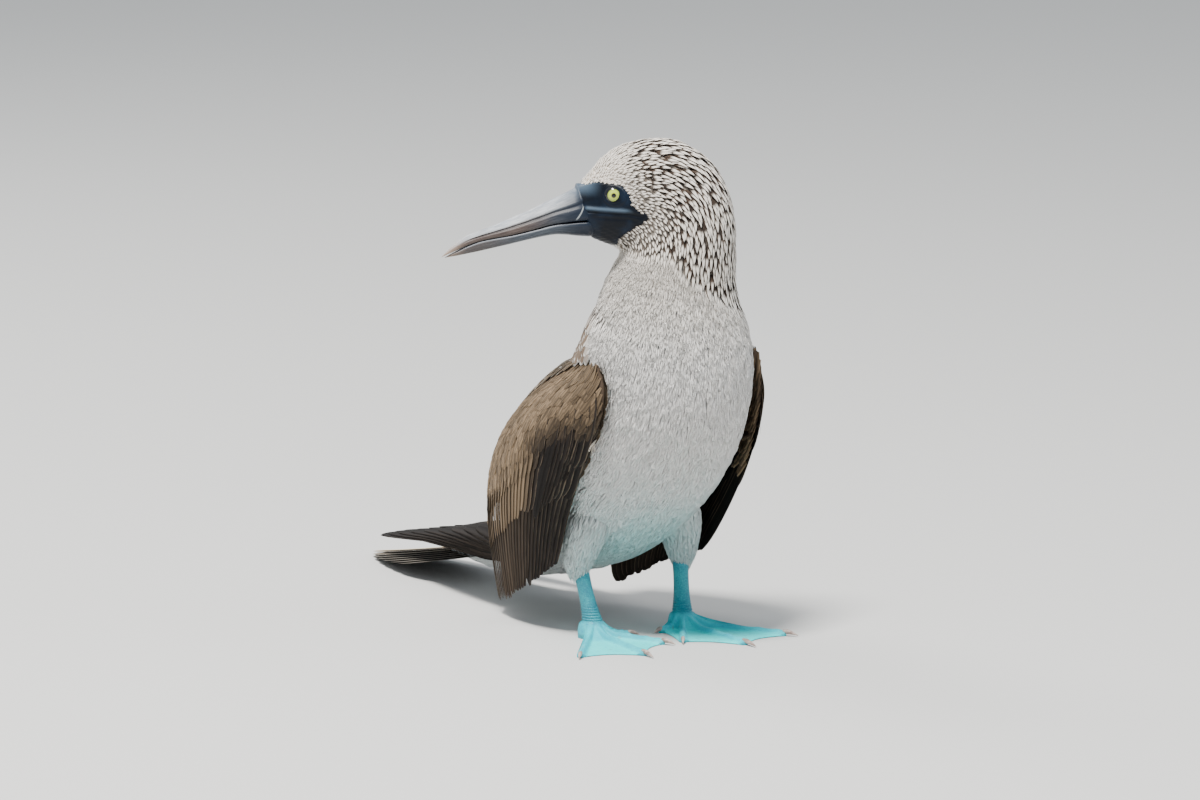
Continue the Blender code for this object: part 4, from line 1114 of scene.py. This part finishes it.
def scapulars(label, plumage, rng):
    """Rows of pale-edged feathers that grow from the back and bend over the wing's edge."""
    side = SIDES[label]
    for row, (across, reach, count) in enumerate(SCAPULARS):
        a = np.linspace(0.09, 0.84, count) + rng.uniform(-0.01, 0.01, count)
        edge, out, _, _ = arms[label].frames(a, np.zeros(count))
        down = across + rng.uniform(0.0, 0.02, count)
        tip, face, _, _ = arms[label].frames(np.minimum(a + reach, 0.985), down)
        root = edge + (-8.0 * side, -5.0, -4.5 + row)
        low = np.interp(a, (0.09, 0.32), (0.15, 1.0))[:, None]
        middle = edge + out * (2.0 + 0.4 * row) * low + np.array([-1.0 * side, 2.0, 2.0]) * low
        tip = tip + face * (1.1 + 0.35 * row)
        s = broad_form.shares[None, :, None]
        spot = root[:, None] * (1.0 - s) ** 2 + middle[:, None] * 2.0 * s * (1.0 - s) + tip[:, None] * s**2
        along = unit(np.gradient(spot, axis=1))
        sides = unit(np.cross(along, blended(np.array([0.0, 0.45, 0.9]), face[:, None], s)))
        width = np.interp(a, (0.0, 0.25, 0.8), (2.6, 3.6, 4.4)) * rng.uniform(0.85, 1.15, count)
        colour = TAUPE * 0.6 * rng.uniform(0.8, 1.2, (count, 1))
        marks = np.tile([0.0, 0.8, 0.5], (count, 1)) * rng.uniform(0.2, 1.0, (count, 1))
        plumage.add(broad_form, (spot, sides, np.cross(sides, along)), width, rng, colour, marks,
                    bake_places(a, np.full(count, across), EDGE_SPANS), fray=0.3)


def white_tuft(label, plumage, rng):
    """A few loose white feathers at the wrist."""
    a, b = np.linspace(0.0, 0.015, 5), np.linspace(0.44, 0.46, 5)
    spine = spines(arms[label], a, b, rng.normal(0.0, 0.3, 5), rng.uniform(6.0, 10.0, 5),
                   white_form.shares, np.full(5, -0.5), rng.uniform(1.0, 2.0, 5))
    small_feathers(plumage, rng, white_form, spine, np.full(5, 0.6), np.tile(CREAM * 0.8, (5, 1)), 0.0,
                   bake_places(a, b, EDGE_SPANS), 0.8)


def under_coverts(label, plumage, rng):
    """Small grey-brown feathers under the front of the arm."""
    under = over_wing(label, lambda a, b: -arm_depth(a, b), SIDES[label])
    a, b, _ = scattered(under, ((0.0, 0.6), (0.06, 0.62)), 57, lambda p, u, v: np.full(len(u), 3.2),
                        anywhere, 20000, 1.5)
    grow = rng.uniform(0.85, 1.3, len(a))
    spine = spines(under, a, b, rng.normal(0.0, 0.1, len(a)) + 0.3 * SIDES[label], 13.0 * grow,
                   broad_form.shares, np.full(len(a), -1.4), rng.uniform(0.2, 0.7, len(a)))
    colour = blended(TAUPE * 0.45, TAUPE * 0.8, smooth(0.3, 0.5, b)[:, None])
    small_feathers(plumage, rng, broad_form, spine, 2.5 * grow, colour * rng.uniform(0.6, 1.4, (len(a), 1)),
                   0.6, bake_places(a, b, ((-0.01, 1.01), (-0.01, 1.01))))


ROW_STRIPS, PRIMARY_STRIP, HAND_COVERT_STRIP = (0, 26, 52), 80, 91
PRIMARY_HALF_WIDTH, HAND_COVERT_HALF_WIDTH = 10.2, 4.6
for label in SIDES:
    rng = np.random.default_rng(61)
    flight = Plumage()
    for row, start in zip(WING_ROWS, ROW_STRIPS):
        wing_row(label, flight, rng, start, row)
    for rank in range(PRIMARIES - 1, -1, -1):
        spine = tuple(part[None] for part in hand_spine(label, rank))
        lone_blade(flight, rng, spine, PRIMARY_HALF_WIDTH, DARK_QUILL * rng.uniform(0.8, 1.2),
                   (0.0, 0.0, 0.15), PRIMARY_STRIP + rank, *WING_ATLAS)
    for rank in range(HAND_COVERTS):
        root = np.array([[0.06 + 0.022 * rank, 0.36]])
        tip = np.array([[0.02 + 0.032 * rank, 0.60 + 0.022 * rank]])
        spine = wing_spines(
            label, root, tip, lambda a, b, share: arm_rise(a, np.minimum(b, 0.42)) - 0.2 - 1.2 * share,
            blade.shares, math.radians(7.0), rng,
        )
        lone_blade(flight, rng, spine, HAND_COVERT_HALF_WIDTH, DARK_QUILL * rng.uniform(0.9, 1.3),
                   (0.0, 0.0, 0.25), HAND_COVERT_STRIP + rank, *WING_ATLAS)
    flight.piece("wing_quills_" + label, quill_finish, "wing_" + label, "wing_" + label)
    small = Plumage()
    for grow_on in (covert_coat, scapulars, white_tuft, under_coverts):
        grow_on(label, small, rng)
    small.piece("wing_coverts_" + label, quill_finish, "wing_" + label)

# Eyes: glass balls set deep in the bare face, with the lid close round each. Under a clear coat they
# are painted with a pale yellow-green iris, which has fine fibres, and a small black pupil.
EYE_OUT = 15.8
EYE_RADIUS = 7.0
IRIS_RADIUS = 4.1
PUPIL_RADIUS = 1.5
BEHIND = 10.0
EYE_ROWS, EYE_COLUMNS = 60, 64
PUPIL_BLACK, LID_BLACK = (0.004, 0.004, 0.005), (0.004, 0.005, 0.008)


def eyeball(label):
    centre = head_place(*EYE, -SIDES[label] * EYE_OUT)
    axis = unit(-SIDES[label] * np.append(ASIDE, 0.0) + 0.12 * np.append(AHEAD, 0.0))
    level = unit(np.cross(axis, (0.0, 0.0, 1.0)))
    upright = np.cross(level, axis)
    turn = 2.0 * math.pi * np.arange(EYE_COLUMNS) / EYE_COLUMNS
    outward = np.cos(turn)[:, None] * level + np.sin(turn)[:, None] * upright
    angle = np.linspace(0.02, math.pi - 0.02, EYE_ROWS)[:, None]
    radius = EYE_RADIUS * np.sin(angle)
    rings = centre + (EYE_RADIUS * np.cos(angle) * axis)[:, None] + radius[..., None] * outward
    radius = np.where(angle < math.pi / 2.0, radius, BEHIND)
    turn = np.abs(np.linspace(-math.pi, math.pi, EYE_COLUMNS))
    radius, turn = np.broadcast_arrays(radius, turn)
    return closed_stack("eyeball_" + label, rings, {"radius": radius, "turn": turn})


def paint_eye(start):
    radius = start.attribute("radius")
    fibre = start.noise(start.vector(start.attribute("turn") * 7.0, radius * 0.5), 4.0, 3.0)
    iris = start.mix((0.34, 0.44, 0.035), (0.54, 0.64, 0.09), fibre.step(0.3, 0.7))
    iris = iris.under(((0.16, 0.22, 0.03), radius.step(3.0, IRIS_RADIUS) * 0.8))
    iris = start.mix((0.36, 0.40, 0.05), iris, radius.step(1.6, 2.2))
    iris = start.mix(PUPIL_BLACK, iris, radius.step(PUPIL_RADIUS - 0.08, PUPIL_RADIUS + 0.12))
    return {"Base Color": iris.under((LID_BLACK, radius.step(IRIS_RADIUS - 0.15, IRIS_RADIUS + 0.1))),
            "Roughness": 0.3, "Specular IOR Level": 0.1, "Coat Weight": 0.8, "Coat Roughness": 0.03}


eye_finish = finish_of("eyes", paint_eye)
for label in SIDES:
    fitted(eyeball(label), eye_finish, "eye_" + label, "eye_" + label)

# Bill: two long horny halves that meet at a cutting edge and are rooted in the face. The upper one
# is grooved along its side and bent down a little at the tip. Both are blue-grey, nearly black at
# the base and browner in front. Painted highlights of the sky make the ridge, a line by the mouth
# and a crease at the base pale, and painted shade darkens the groove.
UPPER_OUTLINE = np.array([
    (0.0, 0.0), (0.62, 0.02), (1.0, 0.05), (1.03, 0.3), (0.93, 0.5), (0.84, 0.62), (0.45, 0.9),
    (0.0, 1.0),
])
LOWER_OUTLINE = np.array([
    (0.0, 1.0), (0.6, 0.98), (0.96, 0.95), (0.98, 0.6), (0.78, 0.25), (0.42, 0.03), (0.0, 0.0),
])
# Sections as forward, heights of ridge, mouth and keel, and half width
BILL_PROFILE = (
    (57.4, 308.6, 283.6, 271.9, 14.2), (63.0, 304.9, 283.0, 272.6, 13.2),
    (71.0, 300.8, 282.1, 273.6, 11.9), (80.0, 296.7, 280.9, 273.6, 10.6),
    (94.0, 290.2, 277.2, 271.0, 8.9), (107.0, 284.7, 274.1, 268.0, 7.5),
    (118.0, 280.2, 272.3, 265.6, 6.4), (128.0, 276.6, 270.2, 263.5, 5.4),
    (136.5, 273.2, 267.2, 262.0, 4.5), (144.5, 267.6, 263.4, 260.6, 3.0),
    (149.3, 263.0, 261.2, 259.9, 1.6), (152.3, 259.9, 259.6, 259.3, 0.25),
)
LOWER_SHORTER = 2.2
GROOVE_DEPTH = 0.75
MOUTH_GAP = 0.12


def even(points, count):
    """So many points on the smooth line through a few."""
    return through(points, np.linspace(0.0, len(points) - 1.0, count))


def bill_half(name, upper):
    half = even(UPPER_OUTLINE if upper else LOWER_OUTLINE, 43)
    ring = np.vstack([half, (half * (-1.0, 1.0))[-2:0:-1]])
    side, up = np.sign(ring[:, 0]), ring[:, 1]
    rings, along = [], []
    for f, ridge, mouth, keel, half_width in even(BILL_PROFILE, 120):
        tuck = smooth(60.2, 57.4, f)
        across = ring[:, 0] * (half_width - 1.4 * tuck)
        if upper:
            low, high = mouth + MOUTH_GAP, ridge - 1.5 * tuck
            groove = GROOVE_DEPTH * bump(up - 0.50, 0.075) - 0.16 * bump(up - 0.60, 0.05)
            across = across - groove * smooth(141.0, 128.0, f) * side
        else:
            low, high = keel + 1.2 * tuck, mouth - MOUTH_GAP
            across = across - 0.22 * side * bump(up - 0.62, 0.10) * smooth(140.0, 120.0, f)
            f = f - LOWER_SHORTER * smooth(120.0, 152.0, f)
        z = low + up * (high - low)
        lean = BILL_SLOPE * (z - MOUTH_Z) * smooth(66.0, 57.4, f)
        rings.append(head_place(f + lean - 0.8 * smooth(60.0, 57.4, f), z, across))
        along.append(np.full(len(ring), f))
    height = np.tile(up if upper else -up, (len(rings), 1))
    return closed_stack(name, rings, {"along": np.array(along), "up": height})


def paint_bill(start):
    along, up = start.attribute("along"), start.attribute("up")
    down = 0.0 - up
    streaks = start.noise(start.vector(along * 0.05, up * 9.0), 2.2, 5.0, 0.62)
    cloud = start.noise(start.place(), 55.0, 3.0)
    blue_horn = start.mix((0.020, 0.025, 0.034), (0.058, 0.064, 0.076), streaks.step(0.3, 0.75))
    brown_horn = start.mix((0.046, 0.033, 0.029), (0.105, 0.078, 0.066), streaks.step(0.3, 0.7))
    # Pale blue-grey of the ridge, a painted highlight of the sky on the bill's top
    ridge = start.mix((0.27, 0.30, 0.34), (0.50, 0.52, 0.54), streaks.step(0.35, 0.7))
    under = start.mix((0.030, 0.040, 0.055), (0.095, 0.110, 0.130), streaks.step(0.3, 0.7)).under(
        ((0.085, 0.066, 0.058), along.step(96.0, 130.0) * 0.7),
        # A pale line along the lower half by the mouth, a painted highlight
        ((0.26, 0.28, 0.31), down.step(0.78, 0.93) * along.step(64.0, 84.0) * 0.7),
    )
    tip = along.step(134.0, 150.0) * (0.35 + cloud * 0.6)
    # Near black painted shade in the groove along the upper half's side
    groove = up.step(0.42, 0.49) * (1.0 - up.step(0.51, 0.56)) * (1.0 - along.step(126.0, 142.0))
    ridge_end = (1.0 - along.step(58.0, 80.0)) * up.step(0.55, 0.85)
    base = (1.0 - along.step(60.0, 86.0)) * (1.0 - up.step(0.62, 0.95) * 0.9)
    # A pale crease at the base of the upper half, a painted highlight on its edge
    crease = 1.0 - abs(along + up * 15.9 - 66.4).step(0.2, 0.8)
    crease = crease * up.step(0.05, 0.12) * (1.0 - up.step(0.36, 0.44))
    colour = blue_horn.under(
        (brown_horn, along.step(74.0, 104.0) * 0.85),
        (ridge, up.step(0.50, 0.74) * (0.6 + cloud * 0.45)),
        ((0.014, 0.015, 0.020), groove * 0.8),
        (under, down.step(0.01, 0.04)),
        ((0.30, 0.22, 0.17), tip),
        ((0.05, 0.08, 0.12), ridge_end * 0.9),
        ((0.006, 0.012, 0.024), base * 0.94),
        ((0.33, 0.36, 0.37), crease * 0.8),
    )
    return {"Base Color": colour, "Roughness": 0.4, "Specular IOR Level": 0.25,
            "Normal": start.relief(streaks, 0.0004, 0.35)}


bill = joined("bill", [bill_half("bill", True), bill_half("bill_under", False)])
fitted(bill, finish_of("bill", paint_bill), "bill_upper", "bill_upper", "bill_lower")

# Tail: seven pairs of stiff pointed feathers, each pair under the one before it, with cream shafts
# on the middle ones and worn pale tips. The rump's and the vent's feathers cover their roots.
TAIL_ROOT, TAIL_TIP = (188.0, 29.5), (366.0, 1.7)
TAIL_LENGTHS = (1.0, 0.95, 0.885, 0.81, 0.73, 0.645, 0.56)
TAIL_FAN = math.radians(9.0)
TAIL_STEP = 0.95
TAIL_HALF_WIDTH = 12.0
TAIL_ATLAS = (4, 4, np.array([0.23, 0.23]))
CREAM_PAIRS = 2
FLOOR_GAP = 0.35

rng = np.random.default_rng(71)
tail = Plumage()
pairs = len(TAIL_LENGTHS)
for rank, reach in enumerate(TAIL_LENGTHS):
    for side in (-1.0, 1.0):
        spread = TAIL_FAN * (rank + 0.35) / (pairs - 0.65)
        fall = blade.shares * reach
        run = TAIL_TIP[0] - TAIL_ROOT[0]
        top = (TAIL_ROOT[1] + 3.0) * (1.0 - fall) ** 1.15 + TAIL_TIP[1]
        layer = rank * 1.35 + 0.6 * (side > 0.0)
        spot = np.stack([
            side * (2.0 + 1.45 * rank + run * fall * math.tan(spread)),
            TAIL_ROOT[0] + run * fall,
            np.maximum(top - TAIL_STEP * layer, FLOOR_GAP + 0.12 * (pairs - rank)),
        ], -1)
        along = unit(np.gradient(spot, axis=0))
        level = unit(np.cross(along, (0.0, 0.0, 1.0)))
        spine = tuple(part[None] for part in (spot, level, np.cross(level, along)))
        cream = rank < CREAM_PAIRS
        colour = blended(BROWN_QUILL, TAUPE, 0.35) if cream else DARK_QUILL * 1.25
        marks = (1.0, 0.55, 0.8) if cream else (0.35, 0.25, 0.2)
        lone_blade(tail, rng, spine, TAIL_HALF_WIDTH, colour * rng.uniform(0.9, 1.15), marks,
                   2 * rank + (side > 0.0), *TAIL_ATLAS)
tail.piece("tail_quills", quill_finish, "tail", "tail")

# Legs: bare turquoise shank and webbed foot as one cast skin that comes down out of the thigh's
# feathers. Small netted scales cover the shank, the ankle has folds, and thin veined webs join all
# four toes.
TARSUS_TOP = np.array([38.5, 20.5, 45.7])
ANKLE = np.array([34.5, 11.0, 10.3])
TARSUS_SECTIONS = (
    (-0.12, 4.6, 5.3), (0.0, 5.6, 6.4), (0.12, 5.2, 6.0), (0.35, 4.9, 5.8), (0.6, 5.0, 6.0),
    (0.8, 5.5, 6.5), (0.92, 6.1, 6.9), (1.0, 6.6, 7.3),
)
HUB_RADIUS = 7.6
HUB_HEIGHT = 10.0
# Toes from the hind one round to the outer one: way, length to the claw, and the claw's length
TOES = (
    (math.radians(-67.0), 25.0, 6.5), (math.radians(-30.0), 55.0, 8.0),
    (math.radians(3.0), 76.0, 12.0), (math.radians(36.0), 75.0, 8.5),
)
TOE_NAMES = ("hind", "inner", "middle", "outer")
TOE_HALF_WIDTH = 2.45
TOE_SPREAD = 0.22
TOE_SPOKES, WEB_SPOKES, HEEL_SPOKES = 9, 15, 44
# Joints of a toe: their place along it, height and half width
TOE_JOINTS = ((0.42, 0.55, 0.05), (0.70, 0.5, 0.045), (0.9, 0.4, 0.04))
TOE_HEIGHT, TOE_EDGE, WEB_HEIGHT, WEB_ARCH = 5.6, 1.7, 1.35, 0.35


def toe_way(side, angle):
    return np.array([side * math.sin(angle), -math.cos(angle)])


def foot_spokes(side):
    """Lines out from the ankle: start, end, what they lie on and how far over it from its edge."""
    spokes = []
    for index, (angle, length, _) in enumerate(TOES):
        ahead, beside = toe_way(side, angle), toe_way(side, angle + math.pi / 2.0)
        for offset in np.linspace(-1.0, 1.0, TOE_SPOKES):
            start = toe_way(side, angle + TOE_SPREAD * offset) * HUB_RADIUS
            end = ahead * (length - 1.6 * offset**2) + beside * offset * TOE_HALF_WIDTH
            spokes.append((start, end, "toe", offset))
        if index + 1 < len(TOES):
            after, after_length, _ = TOES[index + 1]
            low, high = angle + TOE_SPREAD, after - TOE_SPREAD
            edge = ahead * (length - 1.6) + beside * TOE_HALF_WIDTH
            far = toe_way(side, after) * (after_length - 1.6)
            far = far - toe_way(side, after + math.pi / 2.0) * TOE_HALF_WIDTH
            for share in np.arange(1, WEB_SPOKES + 1) / (WEB_SPOKES + 1.0):
                start = toe_way(side, low + (high - low) * share) * HUB_RADIUS
                end = edge + (far - edge) * share
                end = end * (1.0 - 0.085 * math.sin(math.pi * share) ** 0.8)
                spokes.append((start, end, "web", share))
    first, last = TOES[0][0] + 2.0 * math.pi - TOE_SPREAD, TOES[-1][0] + TOE_SPREAD
    for share in np.arange(1, HEEL_SPOKES + 1) / (HEEL_SPOKES + 1.0):
        start = toe_way(side, last + (first - last) * share) * HUB_RADIUS
        spokes.append((start, start * 1.28, "heel", share))
    return spokes


def foot_top(kind, over, share):
    """Height of the foot's top at a share of the way out along a spoke."""
    if kind == "heel":
        return HUB_HEIGHT * np.sqrt(np.clip(1.0 - (0.93 * share) ** 2.2, 0.0, 1.0)) + 0.4
    if kind == "toe":
        joints = sum(high * bump(share - at, wide) for at, high, wide in TOE_JOINTS)
        end = np.sqrt(np.clip(1.0 - np.clip((share - 0.93) / 0.085, 0.0, 1.0) ** 2, 0.0, 1.0))
        ridge = (TOE_HEIGHT - 1.9 * share + joints) * (0.35 + 0.65 * end)
        height = TOE_EDGE + (ridge - TOE_EDGE) * math.sqrt(max(0.0, 1.0 - (0.93 * over) ** 2))
    else:
        height = WEB_HEIGHT + 0.45 * math.exp(-min(over, 1.0 - over) / 0.06)
        height = height + 0.10 * np.sin(share * 26.0 + over * 9.0) * np.sin(share * math.pi)
        height = height * (1.0 - 0.45 * smooth(0.9, 1.0, share))
    return height + (HUB_HEIGHT - height) * np.clip(1.0 - share * 4.2, 0.0, 1.0) ** 1.6


def make_leg(label):
    mirror = np.array([SIDES[label], 1.0, 1.0])
    spokes = foot_spokes(SIDES[label])
    start, end = (np.array([spoke[place] for spoke in spokes]) for place in (0, 1))
    is_web = np.array([spoke[2] == "web" for spoke in spokes])
    turn, not_web = np.arctan2(start[:, 1], start[:, 0]), np.zeros(len(spokes))
    down = ANKLE + (0.0, 0.0, 1.2) - TARSUS_TOP
    shank = [(*(mirror * (TARSUS_TOP + down * s)), *half) for s, *half in TARSUS_SECTIONS]
    rings, web = [], []
    for x, y, z, half_x, half_y in even(shank, 110):
        fold = 1.0 + 0.042 * math.sin(z * 3.6) * smooth(34.0, 18.0, z)
        rings.append(np.stack([
            x + half_x * fold * np.cos(turn), y + half_y * fold * np.sin(turn), np.full(len(turn), z)
        ], -1))
        web.append(not_web)
    shares = np.concatenate([
        np.linspace(0.0, 0.3, 24), np.linspace(0.32, 0.9, 44), np.linspace(0.91, 1.0, 12)
    ])
    hub = (mirror * ANKLE)[:2]
    for share in shares:
        height = [foot_top(kind, over, share) for _, _, kind, over in spokes]
        rings.append(np.column_stack([hub + start + (end - start) * share, height]))
        web.append(is_web * smooth(0.12, 0.3, share))
    for share in shares[::-4]:
        arch = WEB_ARCH * is_web * (share > 0.12)
        rings.append(np.column_stack([hub + start + (end - start) * share, arch]))
        web.append(not_web)
    return closed_stack("leg_" + label, rings, {"web": web})


def paint_leg(start):
    spot, web = start.place(), start.attribute("web")
    _, _, height = start.parts(spot)
    scales = start.cells(spot, 820.0, "DISTANCE_TO_EDGE")
    seam = 1.0 - scales.step(0.01, 0.10)
    cloud = start.noise(spot, 60.0, 4.0, 0.6)
    veins = start.noise(start.place((1.0, 0.25, 1.0)), 380.0, 3.0, 0.7)
    shank = start.mix((0.004, 0.20, 0.27), (0.012, 0.33, 0.38), cloud.step(0.35, 0.65)).under(
        ((0.07, 0.46, 0.50), scales.step(0.12, 0.4) * 0.35),
        ((0.004, 0.12, 0.20), seam * 0.75),
        ((0.10, 0.20, 0.50), height.step(0.040, 0.049) * 0.45),
    )
    foot = start.mix((0.008, 0.46, 0.56), (0.020, 0.66, 0.72), cloud.step(0.35, 0.7)).under(
        ((0.035, 0.82, 0.80), web * 0.7),
        ((0.01, 0.24, 0.50), start.noise(spot, 420.0, 4.0, 0.6).step(0.58, 0.70) * 0.5),
        ((0.01, 0.25, 0.38), seam * 0.25 * (1.0 - web)),
        ((0.30, 0.26, 0.22), start.noise(spot, 130.0, 2.0).step(0.68, 0.74) * 0.35),
    )
    bulge = start.maths("MINIMUM", scales * 2.0, 0.3)
    return {"Base Color": foot.under((shank, height.step(0.008, 0.0135))), "Roughness": 0.48,
            "Normal": start.relief(bulge * (1.0 - web * 0.7) + veins * 0.6, 0.0008, 0.7)}


leg_finish = finish_of("legs", paint_leg)
for label in SIDES:
    fitted(make_leg(label), leg_finish, "foot_" + label, "tarsus_" + label, "foot_" + label)

# Claws: short curved nails of pinkish horn, one set in the end of each toe. The middle toe's is the
# longest. All eight are one piece.
CLAW_ROWS, CLAW_COLUMNS = 26, 20


def claw(side, angle, length, reach):
    ahead = np.append(toe_way(side, angle), 0.0)
    beside = np.append(toe_way(side, angle + math.pi / 2.0), 0.0)
    hub = ANKLE * (side, 1.0, 0.0)
    turn = 2.0 * math.pi * np.arange(CLAW_COLUMNS)[:, None] / CLAW_COLUMNS
    rings = []
    for s in np.linspace(-0.28, 0.985, CLAW_ROWS):
        out = np.clip(s, 0.0, 1.0)
        sunk = 1.0 if s > 0.0 else 0.9
        centre = hub + ahead * (length + 0.3 + reach * s) + (0.0, 0.0, 2.95 - 2.1 * out**1.7)
        wide = (1.35 * (1.0 - out**1.4) + 0.10) * sunk
        high = (1.5 * (1.0 - out**1.6) + 0.10) * sunk
        rings.append(centre + beside * wide * np.cos(turn) + (0.0, 0.0, 1.0) * (high * np.sin(turn)))
    return closed_stack("claw", rings)


def paint_claw(start):
    cloud = start.noise(start.place(), 300.0, 3.0)
    horn = start.mix((0.24, 0.17, 0.15), (0.45, 0.37, 0.33), cloud.step(0.35, 0.65))
    return {"Base Color": horn, "Roughness": 0.38, "Normal": start.relief(cloud, 0.0002, 0.4)}


claws = joined("claws", [claw(side, *toe) for side in SIDES.values() for toe in TOES])
fitted(claws, finish_of("claws", paint_claw), "claw_middle_right",
       *[f"claw_{toe}_{label}" for toe in TOE_NAMES for label in SIDES])

# Stage: a plain pale floor under a bright sky, a high soft key light from the bird's front right,
# and weak fill and rim lights. The camera looks from the photo's side.
bpy.ops.mesh.primitive_plane_add(size=8.0, location=(0.0, 0.0, 0.0))
floor = bpy.context.object
floor.name = "floor"
floor.data.materials.append(finish_of("floor", lambda start: {
    "Base Color": (0.58, 0.58, 0.57, 1.0), "Roughness": 0.8,
}))

world = bpy.data.worlds.new("studio")
world.use_nodes = True
sky = world.node_tree.nodes["Background"].inputs
sky["Color"].default_value = (0.80, 0.86, 0.92, 1.0)
sky["Strength"].default_value = 0.72
bpy.context.scene.world = world
AIM = Vector((0.0017, -0.1258, 0.1577))


def placed(name, data, place):
    """A light or the camera at a place, turned to the middle of the bird."""
    thing = bpy.data.objects.new(name, data)
    thing.location = place
    thing.rotation_euler = (AIM - Vector(place)).to_track_quat("-Z", "Y").to_euler()
    bpy.context.scene.collection.objects.link(thing)
    return thing


for name, place, size, power, colour in (
    ("key", (-1.1, -0.9, 3.1), 0.7, 260.0, (1.0, 0.97, 0.93)),
    ("fill", (2.0, -1.9, 1.2), 1.6, 14.0, (0.84, 0.92, 1.0)),
    ("rim", (-0.4, 2.2, 1.9), 1.2, 42.0, (1.0, 0.98, 0.95)),
):
    lamp = bpy.data.lights.new(name, "AREA")
    lamp.shape = "SQUARE"
    lamp.size, lamp.energy, lamp.color = size, power, colour
    placed(name, lamp, place)

AZIMUTH, ELEVATION, DISTANCE = math.radians(-30.0), math.radians(9.0), 6.0
FRAME_WIDTH = 0.792
lens = bpy.data.cameras.new("camera")
lens.lens = lens.sensor_width * DISTANCE / FRAME_WIDTH
back = Vector((
    math.sin(AZIMUTH) * math.cos(ELEVATION), -math.cos(AZIMUTH) * math.cos(ELEVATION), math.sin(ELEVATION)
))
bpy.context.scene.camera = placed("camera", lens, AIM + back * DISTANCE)
